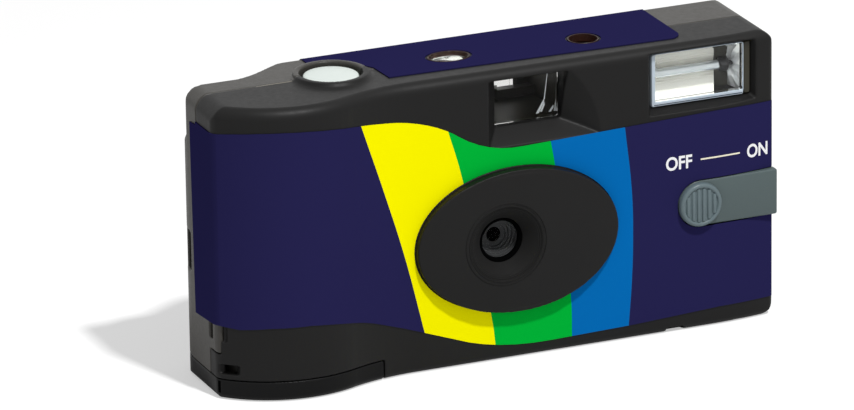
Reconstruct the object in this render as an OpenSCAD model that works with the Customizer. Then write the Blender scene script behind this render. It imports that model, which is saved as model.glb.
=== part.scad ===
// Single-use 35 mm film camera with a built-in flash.
// X runs to the right as seen from the front, Y to the back and Z up from the base.
// Sizes inside the modules are measured from the seam between the two covers;
// place() then puts the middle of the whole depth at Y = 0.

/* [Covers] */
// Width of the covers across the front
body_w = 117; // [115:0.5:126]
// Height from the base to the flat top
body_h = 59; // [58.5:0.5:66]
// Depth from the cover seam to the flat of the front
front_depth = 12; // [11.7:0.1:14]
// How far the hand grip stands proud of the front
grip_rise = 4.3; // [3.5:0.1:5.5]
// Radius of the grip seen from above
grip_r = 23; // [21:1:25]
// Radius of the upright front corner of the grip
grip_corner_r = 4; // [3:0.5:5]
// Middle of the grip from the left end
grip_mid = 17.5; // [16.5:0.1:18.5]
// Radius of the hollow sweep from the grip to the front
sweep_r = 40; // [25:1:60]
// Wall thickness of both covers
wall = 1.4; // [1.1:0.1:1.6]
// Radius of the upright front corner at the right end
front_corner_r = 1.6; // [1.4:0.2:3]
// Radius of the upright back corner behind the grip
back_grip_r = 8.5; // [5:0.5:9]
// Radius of the upright back corner at the right end
back_corner_r = 5; // [2.5:0.5:7]
// Radius of the rounded corners seen from the front
end_corner_r = 3.2; // [2:0.2:5]
// Radius along the long top edges
top_edge_r = 2.4; // [1.8:0.1:3.2]
// Radius along the edges of the base
base_edge_r = 1.4; // [0.8:0.1:1.4]
// Radius of the curve that draws the front back at the right end
taper_r = 80; // [60:1:120]
// Length of that curve
taper_run = 14.5; // [8:0.5:18]
// Gap along the seam between the covers
seam_gap = 0.12; // [0.05:0.01:0.3]

/* [Lens boss] */
// Lens axis to the right of the middle of the body
lens_x = -0.5; // [-2:0.1:2]
// Height of the lens axis and of the middle of the film
lens_z = 24.8; // [24.6:0.1:27]
// Middle of the oval boss to the right of the lens axis
boss_shift = 3.2; // [0:0.1:5]
// Width of the oval boss
boss_w = 42.4; // [34:0.2:46]
// Height of the oval boss
boss_h = 29; // [24:0.2:32]
// How far the boss stands proud of the front
boss_rise = 3; // [2:0.1:4]
// Radius of the dome across the face of the boss
boss_dome_r = 150; // [120:5:300]
// Radius of the dished recess in front of the lens
dish_r = 7.4; // [6.8:0.1:8]
// Radius of the opening at the bottom of the dish
dish_eye_r = 4.6; // [4:0.1:4.8]
// Depth of the dish
dish_depth = 3.1; // [2.5:0.1:3.5]
// Radius of the taking lens
lens_r = 5; // [4.9:0.1:5.4]
// Thickness of the taking lens at its middle
lens_t = 2.2; // [1.8:0.1:2.4]

/* [Viewfinder] */
// Left edge of the finder opening from the middle of the body
finder_x = 0.2; // [0:0.1:2]
// Width of the finder opening
finder_w = 13.8; // [10:0.2:14.4]
// Height of the finder opening
finder_h = 10; // [8:0.2:10.4]
// Depth of the scoop in front of the finder
finder_scoop = 4; // [3:0.1:4.4]
// Width of the eyepiece opening in the back
eyepiece_w = 10; // [7:0.5:11]
// Height of the eyepiece opening in the back
eyepiece_h = 7.5; // [5:0.5:8]

/* [Flash] */
// Width of the flash opening
flash_w = 21.4; // [18:0.2:22]
// Height of the flash opening
flash_h = 11; // [8:0.2:11.2]
// Distance of the flash opening from the right end
flash_end = 4.8; // [4:0.1:6]
// Depth of the bevelled frame round the flash
flash_sink = 2.2; // [1.5:0.1:2.6]
// Diameter of the flash tube
tube_d = 2.6; // [2:0.1:3]
// Diameter of the flash capacitor
cap_d = 12; // [9:0.5:12.5]
// Length of the flash capacitor
cap_len = 28; // [20:0.5:29]
// Diameter of the dry cell
cell_d = 10.5; // [9:0.1:11]
// Length of the dry cell
cell_len = 44.5; // [40:0.5:46]

/* [Controls] */
// Shutter button to the left of the middle of the body
button_x = 30.5; // [29.5:0.1:32]
// Diameter of the shutter button
button_d = 10.9; // [9:0.1:11.6]
// Diameter of the hole in the button collar
collar_d = 12.4; // [12:0.1:13]
// Width of the collar round the button
collar_t = 1.2; // [0.8:0.1:1.6]
// Height of the collar above the top
collar_h = 0.9; // [0.5:0.1:1.4]
// Travel of the shutter button
button_travel = 1.2; // [0.8:0.1:1.3]
// Diameter of the button stem
stem_d = 3.2; // [2.4:0.1:3.4]
// Width of the flash switch strip
switch_h = 9.4; // [7:0.2:10]
// Length of the flash switch strip
switch_len = 21.4; // [19:0.2:23]
// How far the strip stands out past the right end
switch_proud = 0.2; // [0.1:0.1:1.2]
// Height of the middle of the flash switch
switch_z = 26; // [24:0.1:28]
// Travel of the flash switch from off to on
switch_travel = 6; // [4:0.5:6.5]
// Diameter of the round switch pad
pad_d = 8.8; // [6:0.1:9]

/* [Film] */
// Diameter of the film cassette
cassette_d = 25; // [24.5:0.1:25.4]
// Length of the cassette can
cassette_len = 43; // [42:0.1:43.4]
// Width of the film
film_w = 35; // [34:0.1:35.4]
// Thickness of the film
film_t = 0.15; // [0.1:0.01:0.2]
// Width of the picture gate
gate_w = 36; // [34:0.5:36.5]
// Height of the picture gate
gate_h = 24; // [22:0.5:24.5]
// Radius of the unexposed roll
roll_r = 7; // [5:0.1:7.4]
// Radius of the thumb wheel
wheel_r = 10; // [9:0.1:10.2]
// Thickness of the thumb wheel
wheel_t = 4.2; // [3:0.1:4.6]
// Number of ridges round the thumb wheel
wheel_ridges = 40; // [20:1:48]
// Depth of the thumb recess in the back
recess_depth = 7.5; // [6:0.1:8]
// Radius of the frame counter dial
dial_r = 9.3; // [8:0.1:9.5]
// Number of notches round the counter dial
dial_notches = 30; // [24:1:36]
// Length of the film door from the left end
door_len = 32.8; // [30:0.2:34]
// Height of the film door
door_h = 4; // [3.6:0.1:4.4]

/* [Fits] */
// Clearance between parts that slide past each other
slide_clear = 0.2; // [0.15:0.01:0.3]
// Radial clearance of a pin in its hole
pin_clear = 0.05; // [0.03:0.01:0.09]
// Gap between neighbours that do not touch
air = 0.3; // [0.25:0.01:0.4]
// Wall thickness of the inner mouldings
rib = 0.8; // [0.6:0.1:0.9]
// Thickness of the printed labels
label_t = 0.2; // [0.1:0.05:0.3]
// Thickness of sheet metal contacts
metal_t = 0.4; // [0.3:0.05:0.5]

/* [Hidden] */
$fn = 64;

// Cuts run past the faces that they break through by one of these.
lap = 0.01;
over = 1;
far = 200;

// The grip is as deep as the cassette behind it needs.
body_depth = cassette_d + 2 * wall + rib + 3 * air;
grip_depth = front_depth + grip_rise;
back_depth = body_depth - grip_depth;
seam_y = (grip_depth - back_depth) / 2;
half_w = body_w / 2;

// Rounded top edges meet the top in a faint crease.
edge_crease = 0.06;

// Centres, seen from above, of the grip, the hollow sweep and the taper at the right end.
// The sweep sinks a little into the grip, so that their faces cross in a faint crease.
sweep_sink = 0.03;
grip_c = [-half_w + grip_mid, grip_r - grip_depth];
sweep_run = sqrt(pow(grip_r + sweep_r - sweep_sink, 2)
  - pow(grip_c[1] + front_depth + sweep_r, 2));
sweep_c = [grip_c[0] + sweep_run, -front_depth - sweep_r];
taper_c = [half_w - taper_run, taper_r - front_depth];

// Film path, measured back from the seam
pressure_rib = 1.6;
film_y = back_depth - wall - pressure_rib - air / 2 - film_t;
gate_y = film_y - air / 2;
gate_t = 2;
film_z0 = lens_z - film_w / 2;
film_z1 = lens_z + film_w / 2;
cassette_r = cassette_d / 2;
cassette_x = -half_w + wall + air + rib + air + cassette_r;
cassette_y = back_depth - wall - air - cassette_r;
can_z0 = lens_z - cassette_len / 2;
can_z1 = lens_z + cassette_len / 2;
chamber_r = cassette_r + air;

// Decks inside the body
deck_t = 1.5;
deck_z = can_z1 + slide_clear + air;
deck_top = deck_z + deck_t;
spool_room = 2.5;
shelf_z = film_z1 + spool_room;
shelf_top = shelf_z + deck_t;

// Shutter board, blade gap and lens holder, from back to front
board_t = 1.2;
blade_t = 0.4;
blade_gap = 1;
holder_t = 1.4;
boss_y = -(front_depth + boss_rise);
lens_y = boss_y + dish_depth + slide_clear;
holder_y = lens_y + lens_t + holder_t;
blade_y = holder_y + blade_gap;
board_y = blade_y + board_t;
aperture_r = 1.6;
pivot_side = 5.5;
pivot_up = 11.7;
pivot_x = lens_x - pivot_side;
pivot_z = lens_z + pivot_up;
pivot_r = 1;
blade_swing = 24;

// Film transport
perf_pitch = 4.75;
perf_w = 1.98;
perf_h = 2.8;
perf_inset = 3.4;
sprocket_teeth = 8;
sprocket_r = sprocket_teeth * perf_pitch / (2 * PI) - air;
tooth_h = 1.1;
sprocket_t = 1.5;
sprocket_side = 5;
sprocket_x = lens_x - gate_w / 2 - sprocket_side;
sprocket_y = film_y - sprocket_r - tooth_h - slide_clear;
perf_z = film_z1 - perf_inset;
sprocket_room = 1.2;
shaft_z0 = perf_z - 5.5;
shaft_block = 2.5;
shaft_r = 1.6;
post_side = 11;
post_x = lens_x - post_side;
post_y = 1.5;
post_r = 1.2;
dial_t = 1.2;
flange_t = 1;
dial_top = body_h - wall - air;
dial_z = dial_top - flange_t - button_travel - slide_clear - dial_t;
wheel_lift = 0.9;
wheel_z = deck_top + wheel_lift;
hub_r = 4;
recess_y = back_depth - recess_depth;
recess_z = can_z1 + wall + air;
roll_flange = 0.6;
roll_x = half_w - wall - air - rib - air - (roll_r + roll_flange);
roll_y = film_y - roll_r - air;
roll_chamber_r = roll_r + roll_flange + air;
roll_wall_x = roll_x - roll_chamber_r - rib;
spindle_r = 1.5;
spool_rim = 1.2;
core_r = 3;

// Controls
collar_r = collar_d / 2 + collar_t;
collar_fillet = 1.3;
stem_r = stem_d / 2;
bush_wall = 0.9;
bush_r = stem_r + bush_wall;
bush_h = 2;
cap_sink = 0.5;
cap_top = body_h + collar_h - cap_sink;
flange_top = body_h - wall - air;
rocker_x = -22;
rocker_y = -2.8;
rocker_t = 1.2;
rocker_pin_r = 0.8;
rocker_lift = 2.7;
rocker_z = deck_top + rocker_lift;
rocker_reach = 5;
ear_in = 1.5;
ear_w = 0.8;
ear_out = ear_in + ear_w;
leg_z = rocker_z + rocker_t / 2 + slide_clear;
switch_t = 1.6;
switch_x1 = half_w + switch_proud;
switch_x0 = switch_x1 - switch_len;
switch_lift = 0.2;
switch_face = front_depth + switch_lift;
channel_y = -switch_face + switch_t + slide_clear;
channel_t = 1.2;
leg_inset = 1.8;
leg_x = switch_x0 + leg_inset;
keeper_t = 0.8;
leg_w = 3;

// Electrics
contact_room = 1.8;
board_front = channel_y + channel_t + contact_room;
pcb_t = 1;
pcb_reach = 20.4;
pcb_end = 4.5;
pcb_x0 = roll_wall_x - pcb_reach;
pcb_x1 = half_w - pcb_end;
pcb_z0 = 14;
pcb_top_gap = 2;
pcb_z1 = shelf_z - pcb_top_gap;
cell_r = cell_d / 2;
cell_end = 5.9;
cell_x1 = roll_wall_x - cell_end;
cell_x0 = cell_x1 - cell_len;
cell_y = -3;
cell_lift = 0.35;
cell_z = wall + cell_lift + cell_r;
cap_reach = 14.4;
cap_x = roll_wall_x - cap_reach;
cap_y = board_front + pcb_t + air / 2 + cap_d / 2;
cap_lift = 1;
cap_z0 = pcb_z0 + cap_lift;
part_x = cap_x + cap_d / 2 + rib;
part_y = board_front + pcb_t;

// Openings in the front and the top
finder_x1 = finder_x + finder_w;
finder_drop = 2.4;
finder_z1 = body_h - finder_drop;
finder_z0 = finder_z1 - finder_h;
finder_y = -front_depth + finder_scoop;
finder_sill = 3;
scoop_left = 3;
scoop_flare = 6.8;
scoop_c = [finder_x - 1, finder_z0 - 4.7];
scoop_r = 21.8;
scoop_eye_r = 15.4;
sill_back = 0.5;
finder_frame_z0 = finder_z0 - finder_sill - sill_back;
finder_back = finder_y + wall + air;
flash_x1 = half_w - flash_end;
flash_x0 = flash_x1 - flash_w;
flash_z1 = body_h - wall - slide_clear;
flash_z0 = flash_z1 - flash_h;
flash_y = -front_depth + flash_sink;
window_t = 0.8;
seat_play = 0.1;
mouth_y = flash_y + wall + window_t + seat_play;
mouth_x0 = flash_x0 + 2 * seat_play;
mouth_x1 = flash_x1 - window_t;
tube_sink = 0.5;
tube_y = mouth_y + tube_d / 2 + tube_sink;
tube_z = (flash_z0 + flash_z1) / 2;
counter_side = 5.1;
counter_x = lens_x - counter_side;
counter_y = 0.8;
lamp_x = 22.4;
lamp_y = -0.3;
lamp_hole_r = 3.1;
eyepiece_x = finder_x + finder_w / 2;
eyepiece_z = shelf_top + air / 2 + eyepiece_h / 2;

// Film door hinge
door_x1 = -half_w + door_len;
hinge_r = 0.9;
hinge_y = back_depth - hinge_r - air;
hinge_z = can_z0 - air - hinge_r;
hinge_pin_r = 0.5;
lug_w = 3;
hinge_x0 = -half_w + back_grip_r - lug_w / 2;
lug_xs = [hinge_x0 + lug_w / 2, door_x1 - 2 * lug_w];

// Springs
spring_wire = 0.22;
spring_play = 0.75;
spring_r = stem_r + spring_play;
spring_z0 = deck_top + bush_h + spring_wire;
spring_z1 = flange_top - flange_t - spring_wire;
spring_turns = 4;
striker_z0 = deck_top + slide_clear;
striker_t = 1.2;
striker_coil_r = 2.4;
coil_room = 0.4;
striker_coil_z0 = striker_z0 + striker_t + coil_room;
coil_end = 1;
striker_coil_z1 = dial_z - coil_end;
striker_coil_turns = 2;
spool_r = 3;
lamp_r = 2;
lamp_h = 6;
dial_pin_r = 0.9;

// Moves what is measured from the seam into the frame of the whole object.
module place() { translate([0, seam_y, 0]) children(); }

// Stretches a profile drawn in X and Z from y0 to y1.
module extrude_y(y0, y1) {
  translate([0, y1, 0]) rotate([90, 0, 0]) linear_extrude(y1 - y0) children();
}

// Stretches a profile drawn in Y and Z from x0 to x1.
module extrude_x(x0, x1) {
  translate([x0, 0, 0]) rotate([90, 0, 90]) linear_extrude(x1 - x0) children();
}

// Turns a profile drawn as radius and Y round an axis along Y.
module revolve_y(x, z) {
  translate([x, 0, z]) rotate([-90, 0, 0]) rotate_extrude() children();
}

// Round bar along Y.
module rod_y(x, z, r, y0, y1) {
  translate([x, y0, z]) rotate([-90, 0, 0]) cylinder(r = r, h = y1 - y0);
}

// Round bar along X.
module rod_x(y, z, r, x0, x1) {
  translate([x0, y, z]) rotate([0, 90, 0]) cylinder(r = r, h = x1 - x0);
}

// Upright round bar.
module post(x, y, r, z0, z1) {
  translate([x, y, z0]) cylinder(r = r, h = z1 - z0);
}

// Block between two opposite corners.
module block(low, high) { translate(low) cube(high - low); }

// Rectangle with its own radius at each corner: lower left, lower right, upper right, upper left.
// A crease lifts the upper fillets, so that they meet the top at a slight angle.
module rounded(x0, x1, y0, y1, radii, crease = 0) {
  difference() {
    translate([x0, y0]) square([x1 - x0, y1 - y0]);
    corner_cut(x0, y0, 1, 1, radii[0]);
    corner_cut(x1, y0, -1, 1, radii[1]);
    corner_cut(x1, y1 + crease, -1, -1, radii[2]);
    corner_cut(x0, y1 + crease, 1, -1, radii[3]);
  }
}

// What a fillet of radius r takes off the corner at (x, y).
module corner_cut(x, y, sx, sy, r) {
  if (r > 0) {
    difference() {
      translate([sx > 0 ? x - over : x - r, sy > 0 ? y - over : y - r]) square(r + over);
      translate([x + sx * r, y + sy * r]) circle(r);
    }
  }
}

// Four-sided plug between rectangle a at y0 and rectangle b at y1, each [x0, x1, z0, z1].
module plug_y(a, y0, b, y1) {
  intersection() {
    translate([0, 0, -far / 2]) linear_extrude(2 * far)
      polygon([[a[0], y0], [a[1], y0], [b[1], y1], [b[0], y1]]);
    extrude_x(-far, far)
      polygon([[y0, a[2]], [y0, a[3]], [y1, b[3]], [y1, b[2]]]);
  }
}

// Points of an ellipse with semi-axes a and b.
function ellipse(a, b) = [for (t = [0:5:355]) [a * cos(t), b * sin(t)]];

// Half section of a round upright form of radius r with rounded edges, drawn in by i.
module edge_profile(r, i) {
  rounded(0, r - i, i, body_h - i, [0, max(base_edge_r - i, 0), top_edge_r - i, 0], edge_crease);
}

// Round upright form about the point c.
module turned(c, r, i) {
  translate(c) rotate_extrude($fn = 200) edge_profile(r, i);
}

// The hollow sweep takes this off the block between the grip and the front.
module sweep_cutter(c, i) {
  low_r = max(base_edge_r - i, 0);
  edge_r = top_edge_r - i;
  cut_r = sweep_r + i;
  translate(c) rotate_extrude($fn = 200) {
    translate([0, -over]) square([cut_r, body_h + 2 * over]);
    corner_flare(cut_r, body_h - i + edge_crease, -1, edge_r);
    corner_flare(cut_r, i, 1, low_r);
  }
}

// Widens the cutter beside an edge at height z that is rounded with radius r.
module corner_flare(x, z, side, r) {
  if (r > 0) {
    difference() {
      translate([x - lap, side > 0 ? z - over : z - r]) square([r + lap, r + over]);
      translate([x + r, z + side * r]) circle(r);
    }
  }
}

// Straight stretch of the body from x0 to x1, with its front at y0, drawn in by i.
module straight(x0, x1, y0, front_r, i) {
  low_r = max(base_edge_r - i, 0);
  edge_r = top_edge_r - i;
  extrude_x(x0, x1) rounded(y0, back_depth - i, i, body_h - i,
    [front_r > 0 ? low_r : 0, low_r, edge_r, front_r], edge_crease);
}

// What an upright fillet of radius r takes off between an arc of the front, about c_arc,
// and the end of the body on the given side, drawn in by i. The round is a little too large,
// so that it crosses both faces at a slight angle.
module end_fillet(c_arc, r_arc, side, r, i) {
  x = side * (half_w - r);
  c = [x, c_arc[1] - sqrt(pow(r_arc - r, 2) - pow(x - c_arc[0], 2))];
  d = (c - c_arc) / norm(c - c_arc);
  end_point = c + (r - i) * [side, 0];
  arc_point = c + (r - i) * d;
  along = 2 * r * (end_point - arc_point) / norm(end_point - arc_point);
  out = 2 * r * ([side, 0] + d) / norm([side, 0] + d);
  translate([0, 0, -over]) linear_extrude(far) difference() {
    polygon([end_point + along, arc_point - along, arc_point - along + out, end_point + along + out]);
    translate(c) circle(r - i + edge_crease);
  }
}

// Outer form of the closed body, drawn in by i.
module body_form(i) {
  end_r = end_corner_r - i;
  low_r = max(base_edge_r - i, 0);
  difference() {
    intersection() {
      union() {
        straight(grip_c[0], taper_c[0], -front_depth + i, top_edge_r - i, i);
        straight(-half_w + i, grip_c[0], 0, 0, i);
        intersection() {
          turned(taper_c, taper_r, i);
          straight(taper_c[0], half_w - i, -far, 0, i);
        }
        intersection() {
          turned(grip_c, grip_r, i);
          block([-far, -far, -over], [far, grip_c[1], far]);
        }
        difference() {
          translate([0, 0, i]) linear_extrude(body_h - 2 * i)
            polygon([grip_c, sweep_c, [sweep_c[0], grip_c[1]]]);
          sweep_cutter(sweep_c, i);
        }
      }
      extrude_y(-far, far)
        rounded(-half_w + i, half_w - i, i, body_h - i, [low_r, end_r, end_r, end_r]);
      translate([0, 0, -over]) linear_extrude(far)
        rounded(-half_w + i, half_w - i, -far, back_depth - i,
          [0, 0, back_corner_r - i, back_grip_r - i]);
    }
    end_fillet(taper_c, taper_r, 1, front_corner_r, i);
    end_fillet(grip_c, grip_r, -1, grip_corner_r, i);
  }
}

// Hollow of the thumb recess in the upper corner of the back, grown by g into the body.
module thumb_recess(g) {
  ramp_x = cassette_x - 6;
  ramp_run = 18;
  steps = 12;
  s_curve = [for (k = [0:steps]) let (t = k / steps)
    [ramp_x + ramp_run * t + g, recess_y + recess_depth * (1 - cos(180 * t)) / 2 - g * (1 - t)]];
  translate([0, 0, recess_z - g]) linear_extrude(far)
    polygon(concat([[-far, recess_y - g]], s_curve,
      [[ramp_x + ramp_run + g, far], [-far, far]]));
}

// Both covers and the film door as one hollow moulding.
module moulding() {
  difference() {
    union() {
      difference() {
        body_form(0);
        thumb_recess(0);
      }
      post(-button_x, 0, collar_r, body_h - wall, body_h + collar_h);
      collar_mound();
    }
    difference() {
      body_form(wall);
      thumb_recess(wall);
    }
    post(-button_x, 0, collar_d / 2, body_h - 2 * wall, far);
  }
}

// Hollow fillet that leads the front half of the button collar into the top
module collar_mound() {
  dip = 0.03;
  intersection() {
    translate([-button_x, 0, body_h - wall / 2]) rotate_extrude($fn = 200) difference() {
      translate([collar_r - collar_t / 2, 0])
        square([collar_fillet + collar_t / 2, wall / 2 + collar_h - slide_clear / 2]);
      translate([collar_r + collar_fillet, wall / 2 + collar_fillet - dip]) circle(collar_fillet);
    }
    block([-far, -far, 0], [far, 0, far]);
  }
}

// The strip of the body below the parting line of the film door, widened by g.
module door_zone(g) {
  block([-far, -far, -over], [door_x1 + g, far, door_h + g]);
}

// Everything in front of the seam between the covers, drawn back by g.
module front_zone(g) {
  tab_y = -8.8;
  tab_z0 = 9.2;
  tab_z1 = 20;
  foot_y = -4.7;
  jog_x0 = -button_x + 10;
  jog_x1 = 40;
  jog_y = 5;
  difference() {
    union() {
      block([-far, -far, -over], [far, -g, far]);
      block([jog_x0, -far, body_h - wall - air], [jog_x1, jog_y - g, far]);
    }
    block([-far, tab_y - g, tab_z0 - g], [-half_w + wall, over, tab_z1 + g]);
    block([-far, foot_y - g, -over], [-half_w + wall, over, tab_z0]);
  }
}

// Front shell
module front_cover() {
  color([0.17, 0.17, 0.18]) place() difference() {
    union() {
      difference() {
        intersection() {
          moulding();
          front_zone(seam_gap / 2);
        }
        door_zone(slide_clear);
        boss_core();
      }
      boss_shell();
      intersection() {
        body_form(lap);
        union() {
          finder_frame();
          flash_frame();
          switch_bed();
        }
      }
    }
    lens_dish();
    finder_opening();
    flash_opening();
    switch_channel();
    counter_window(0);
    post(lamp_x, lamp_y, lamp_hole_r, body_h - 2 * wall, far);
    front_latch_slot();
    corner_groove();
    base_notch();
  }
}

module boss_oval(i, y0, y1) {
  translate([lens_x + boss_shift, 0, lens_z]) extrude_y(y0, y1)
    polygon(ellipse(boss_w / 2 - i, boss_h / 2 - i));
}

// Space behind the boss
module boss_core() { boss_oval(wall, -front_depth - over, -front_depth + wall + over); }

// Raised domed oval with a stepped edge, open behind, and the collar that holds the dish
module boss_shell() {
  step = 0.8;
  difference() {
    intersection() {
      union() {
        boss_oval(0, boss_y + step, -front_depth + wall);
        boss_oval(step, boss_y, boss_y + step);
      }
      boss_dome(0);
    }
    intersection() {
      boss_oval(wall + step, boss_y, 0);
      boss_dome(wall);
    }
  }
  difference() {
    rod_y(lens_x, lens_z, dish_r + wall, boss_y + wall / 2, boss_y + dish_depth);
    boss_outside();
  }
}

// Large ball whose front gives the boss its slight dome, drawn back by i
module boss_dome(i) {
  translate([lens_x + boss_shift, boss_y + boss_dome_r, lens_z])
    sphere(boss_dome_r - i, $fn = 200);
}

// Keeps the dish collar inside the oval
module boss_outside() {
  difference() {
    rod_y(lens_x, lens_z, boss_w, boss_y - over, 0);
    boss_oval(wall / 2, boss_y - 2 * over, over);
  }
}

// Dished recess with a fine groove round it
module lens_dish() {
  groove_gap = 0.45;
  groove_w = 0.4;
  rim = 0.4;
  step = 0.6;
  groove_x0 = dish_r + groove_gap - groove_w / 2;
  front = boss_y - over;
  floor_y = boss_y + dish_depth - rim;
  back = boss_y + dish_depth + over;
  revolve_y(lens_x, lens_z) union() {
    polygon([[0, front], [dish_r, front], [dish_r, boss_y + rim], [dish_eye_r + step, floor_y],
      [dish_eye_r, floor_y], [dish_eye_r, back], [0, back]]);
    translate([groove_x0, front]) square([groove_w, over + groove_w]);
  }
}

// Solid round the finder that the scoop is cut into
module finder_frame() {
  block([finder_x - wall, -front_depth, finder_frame_z0],
    [finder_x1 + scoop_flare + 2 * wall, finder_y + wall, body_h - wall / 2]);
  translate([0, 0, finder_frame_z0]) linear_extrude(body_h - wall / 2 - finder_frame_z0)
    polygon([[finder_x - scoop_left - wall, -front_depth], [finder_x - wall, finder_y],
      [finder_x, finder_y], [finder_x, -front_depth]]);
}

// Scoop with a sloping sill, a slanted left wall and a conical flare to the right,
// and the opening itself
module finder_opening() {
  lip = 0.6;
  front = -front_depth - lap;
  sill_z = finder_z0 - finder_sill;
  plug_y([finder_x - scoop_left, finder_x1 + lap, sill_z, finder_z1 + lip], front,
    [finder_x - lap, finder_x1, finder_z0 - lap, finder_z1 + lap], finder_y);
  intersection() {
    translate([scoop_c[0], front, scoop_c[1]]) rotate([-90, 0, 0])
      cylinder(r1 = scoop_r, r2 = scoop_eye_r, h = finder_scoop, $fn = 200);
    extrude_x(finder_x1 - over, far) polygon([[front, sill_z], [finder_y, finder_z0],
      [finder_y, finder_z1], [front, finder_z1 + lip]]);
  }
  block([finder_x, finder_y - over / 2, finder_z0], [finder_x1, finder_y + 2 * wall, finder_z1]);
}

// Solid round the flash that the bevelled frame is cut into
module flash_frame() {
  block([flash_x0 - 2 * wall, -front_depth, flash_z0 - 2 * wall],
    [half_w - wall / 2, flash_y + wall, body_h - wall / 2]);
}

// Bevelled frame and opening of the flash
module flash_opening() {
  bevel = 1.2;
  plug_y([flash_x0 - bevel, flash_x1 + bevel, flash_z0 - bevel, flash_z1 + bevel / 2],
    -front_depth - lap, [flash_x0, flash_x1, flash_z0, flash_z1], flash_y);
  block([flash_x0, flash_y - over / 2, flash_z0], [flash_x1, flash_y + 2 * wall, flash_z1]);
}

// Solid behind the switch channel
module switch_bed() {
  block([switch_x0 - wall, -front_depth, switch_z - switch_h / 2 - wall],
    [half_w, channel_y + channel_t, switch_z + switch_h / 2 + wall]);
}

// Outline of the switch strip, grown by g
module switch_outline(g) {
  r = switch_h / 2 + g;
  translate([switch_x0 - g + r, switch_z]) circle(r);
  translate([switch_x0 - g + r, switch_z - r]) square([switch_len + g - r, 2 * r]);
}

// Open-ended channel with a slot for the leg of the switch
module switch_channel() {
  extrude_y(-far, channel_y) {
    switch_outline(slide_clear);
    translate([switch_x1 - over, switch_z - switch_h / 2 - slide_clear])
      square([far, switch_h + 2 * slide_clear]);
  }
  block([leg_x - slide_clear, channel_y - over, switch_z - leg_w / 2 - slide_clear],
    [leg_x + leg_w + switch_travel + slide_clear, channel_y + channel_t + over,
      switch_z + leg_w / 2 + slide_clear]);
}

// Oval frame-counter window in the top, grown by g
module counter_window(g) {
  half_len = 4.3 + g;
  half_wide = 3.15 + g;
  translate([counter_x, counter_y, body_h - 2 * wall]) linear_extrude(far)
    polygon(ellipse(half_len, half_wide));
}

// Slot at the front corner of the grip where the door latch shows
module front_latch_slot() {
  slot_w = 3.5;
  slot_h = 2;
  slot_y = -8.3;
  slot_z = door_h + 1.2;
  block([-half_w - over, -far, slot_z], [-half_w + slot_w, slot_y, slot_z + slot_h]);
}

// Upright groove in the front corner of the grip, beside the tab of the back cover
module corner_groove() {
  groove_depth = 1.7;
  groove_w = 1.5;
  groove_y = -8.9;
  groove_z0 = 11.7;
  groove_z1 = 15.5;
  block([-half_w - over, groove_y - groove_w, groove_z0], [-half_w + groove_depth, groove_y, groove_z1]);
}

// Small notch in the lower edge of the front
module base_notch() {
  notch_x = 36.7;
  notch_w = 3.8;
  notch_h = 1;
  block([notch_x - notch_w / 2, -far, -over],
    [notch_x + notch_w / 2, -front_depth + wall + over / 2, notch_h]);
}

// Rear shell
module back_cover() {
  rib_w = 1.2;
  color([0.27, 0.27, 0.27]) place() {
    difference() {
      union() {
        difference() {
          moulding();
          front_zone(-seam_gap / 2);
          door_zone(slide_clear);
        }
        for (x = [-gate_w / 2, 0, gate_w / 2])
          block([lens_x + x - rib_w / 2, back_depth - wall - pressure_rib, film_z0],
            [lens_x + x + rib_w / 2, back_depth - wall / 2, film_z1]);
        eyepiece_frame();
        for (x = lug_xs) hinge_lug(x);
      }
      block([eyepiece_x - eyepiece_w / 2, back_depth - 3 * wall, eyepiece_z - eyepiece_h / 2],
        [eyepiece_x + eyepiece_w / 2, far, eyepiece_z + eyepiece_h / 2]);
      post(cassette_x, cassette_y, wheel_r + 2 * air, wheel_z - air, wheel_z + wheel_t + air);
      side_latch_window();
      tab_slot();
      rod_x(hinge_y, hinge_z, hinge_pin_r + pin_clear, hinge_x0, door_x1);
      button_flange_room();
    }
  }
}

// Room under the top for the button's flange
module button_flange_room() {
  post(-button_x, 0, collar_r, body_h - 6 * wall, body_h - wall);
}

// Rim round the eyepiece lens inside the back
module eyepiece_frame() {
  frame_t = 1.2;
  half = [eyepiece_w / 2 + rib, eyepiece_h / 2 + rib];
  block([eyepiece_x - half[0], back_depth - wall - frame_t, eyepiece_z - half[1]],
    [eyepiece_x + half[0], back_depth - wall / 2, eyepiece_z + half[1]]);
}

// Lug that carries the pin of the film door
module hinge_lug(x) {
  rod_x(hinge_y, hinge_z, hinge_r, x - lug_w / 2, x + lug_w / 2);
  block([x - lug_w / 2, hinge_y - hinge_r, hinge_z],
    [x + lug_w / 2, hinge_y + hinge_r, door_h + wall]);
}

// Window in the left side of the back where a latch hook shows
module side_latch_window() {
  window_y = [4.3, 8];
  window_z = [22, 30];
  block([-half_w - over, window_y[0], window_z[0]],
    [-half_w + 2 * wall, window_y[1], window_z[1]]);
}

// Small slot in the tab that the back cover sends forward
module tab_slot() {
  slot_y = [-6.1, -4.5];
  slot_z = [11.5, 15];
  block([-half_w - over, slot_y[0], slot_z[0]], [-half_w + 2 * wall, slot_y[1], slot_z[1]]);
}

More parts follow.
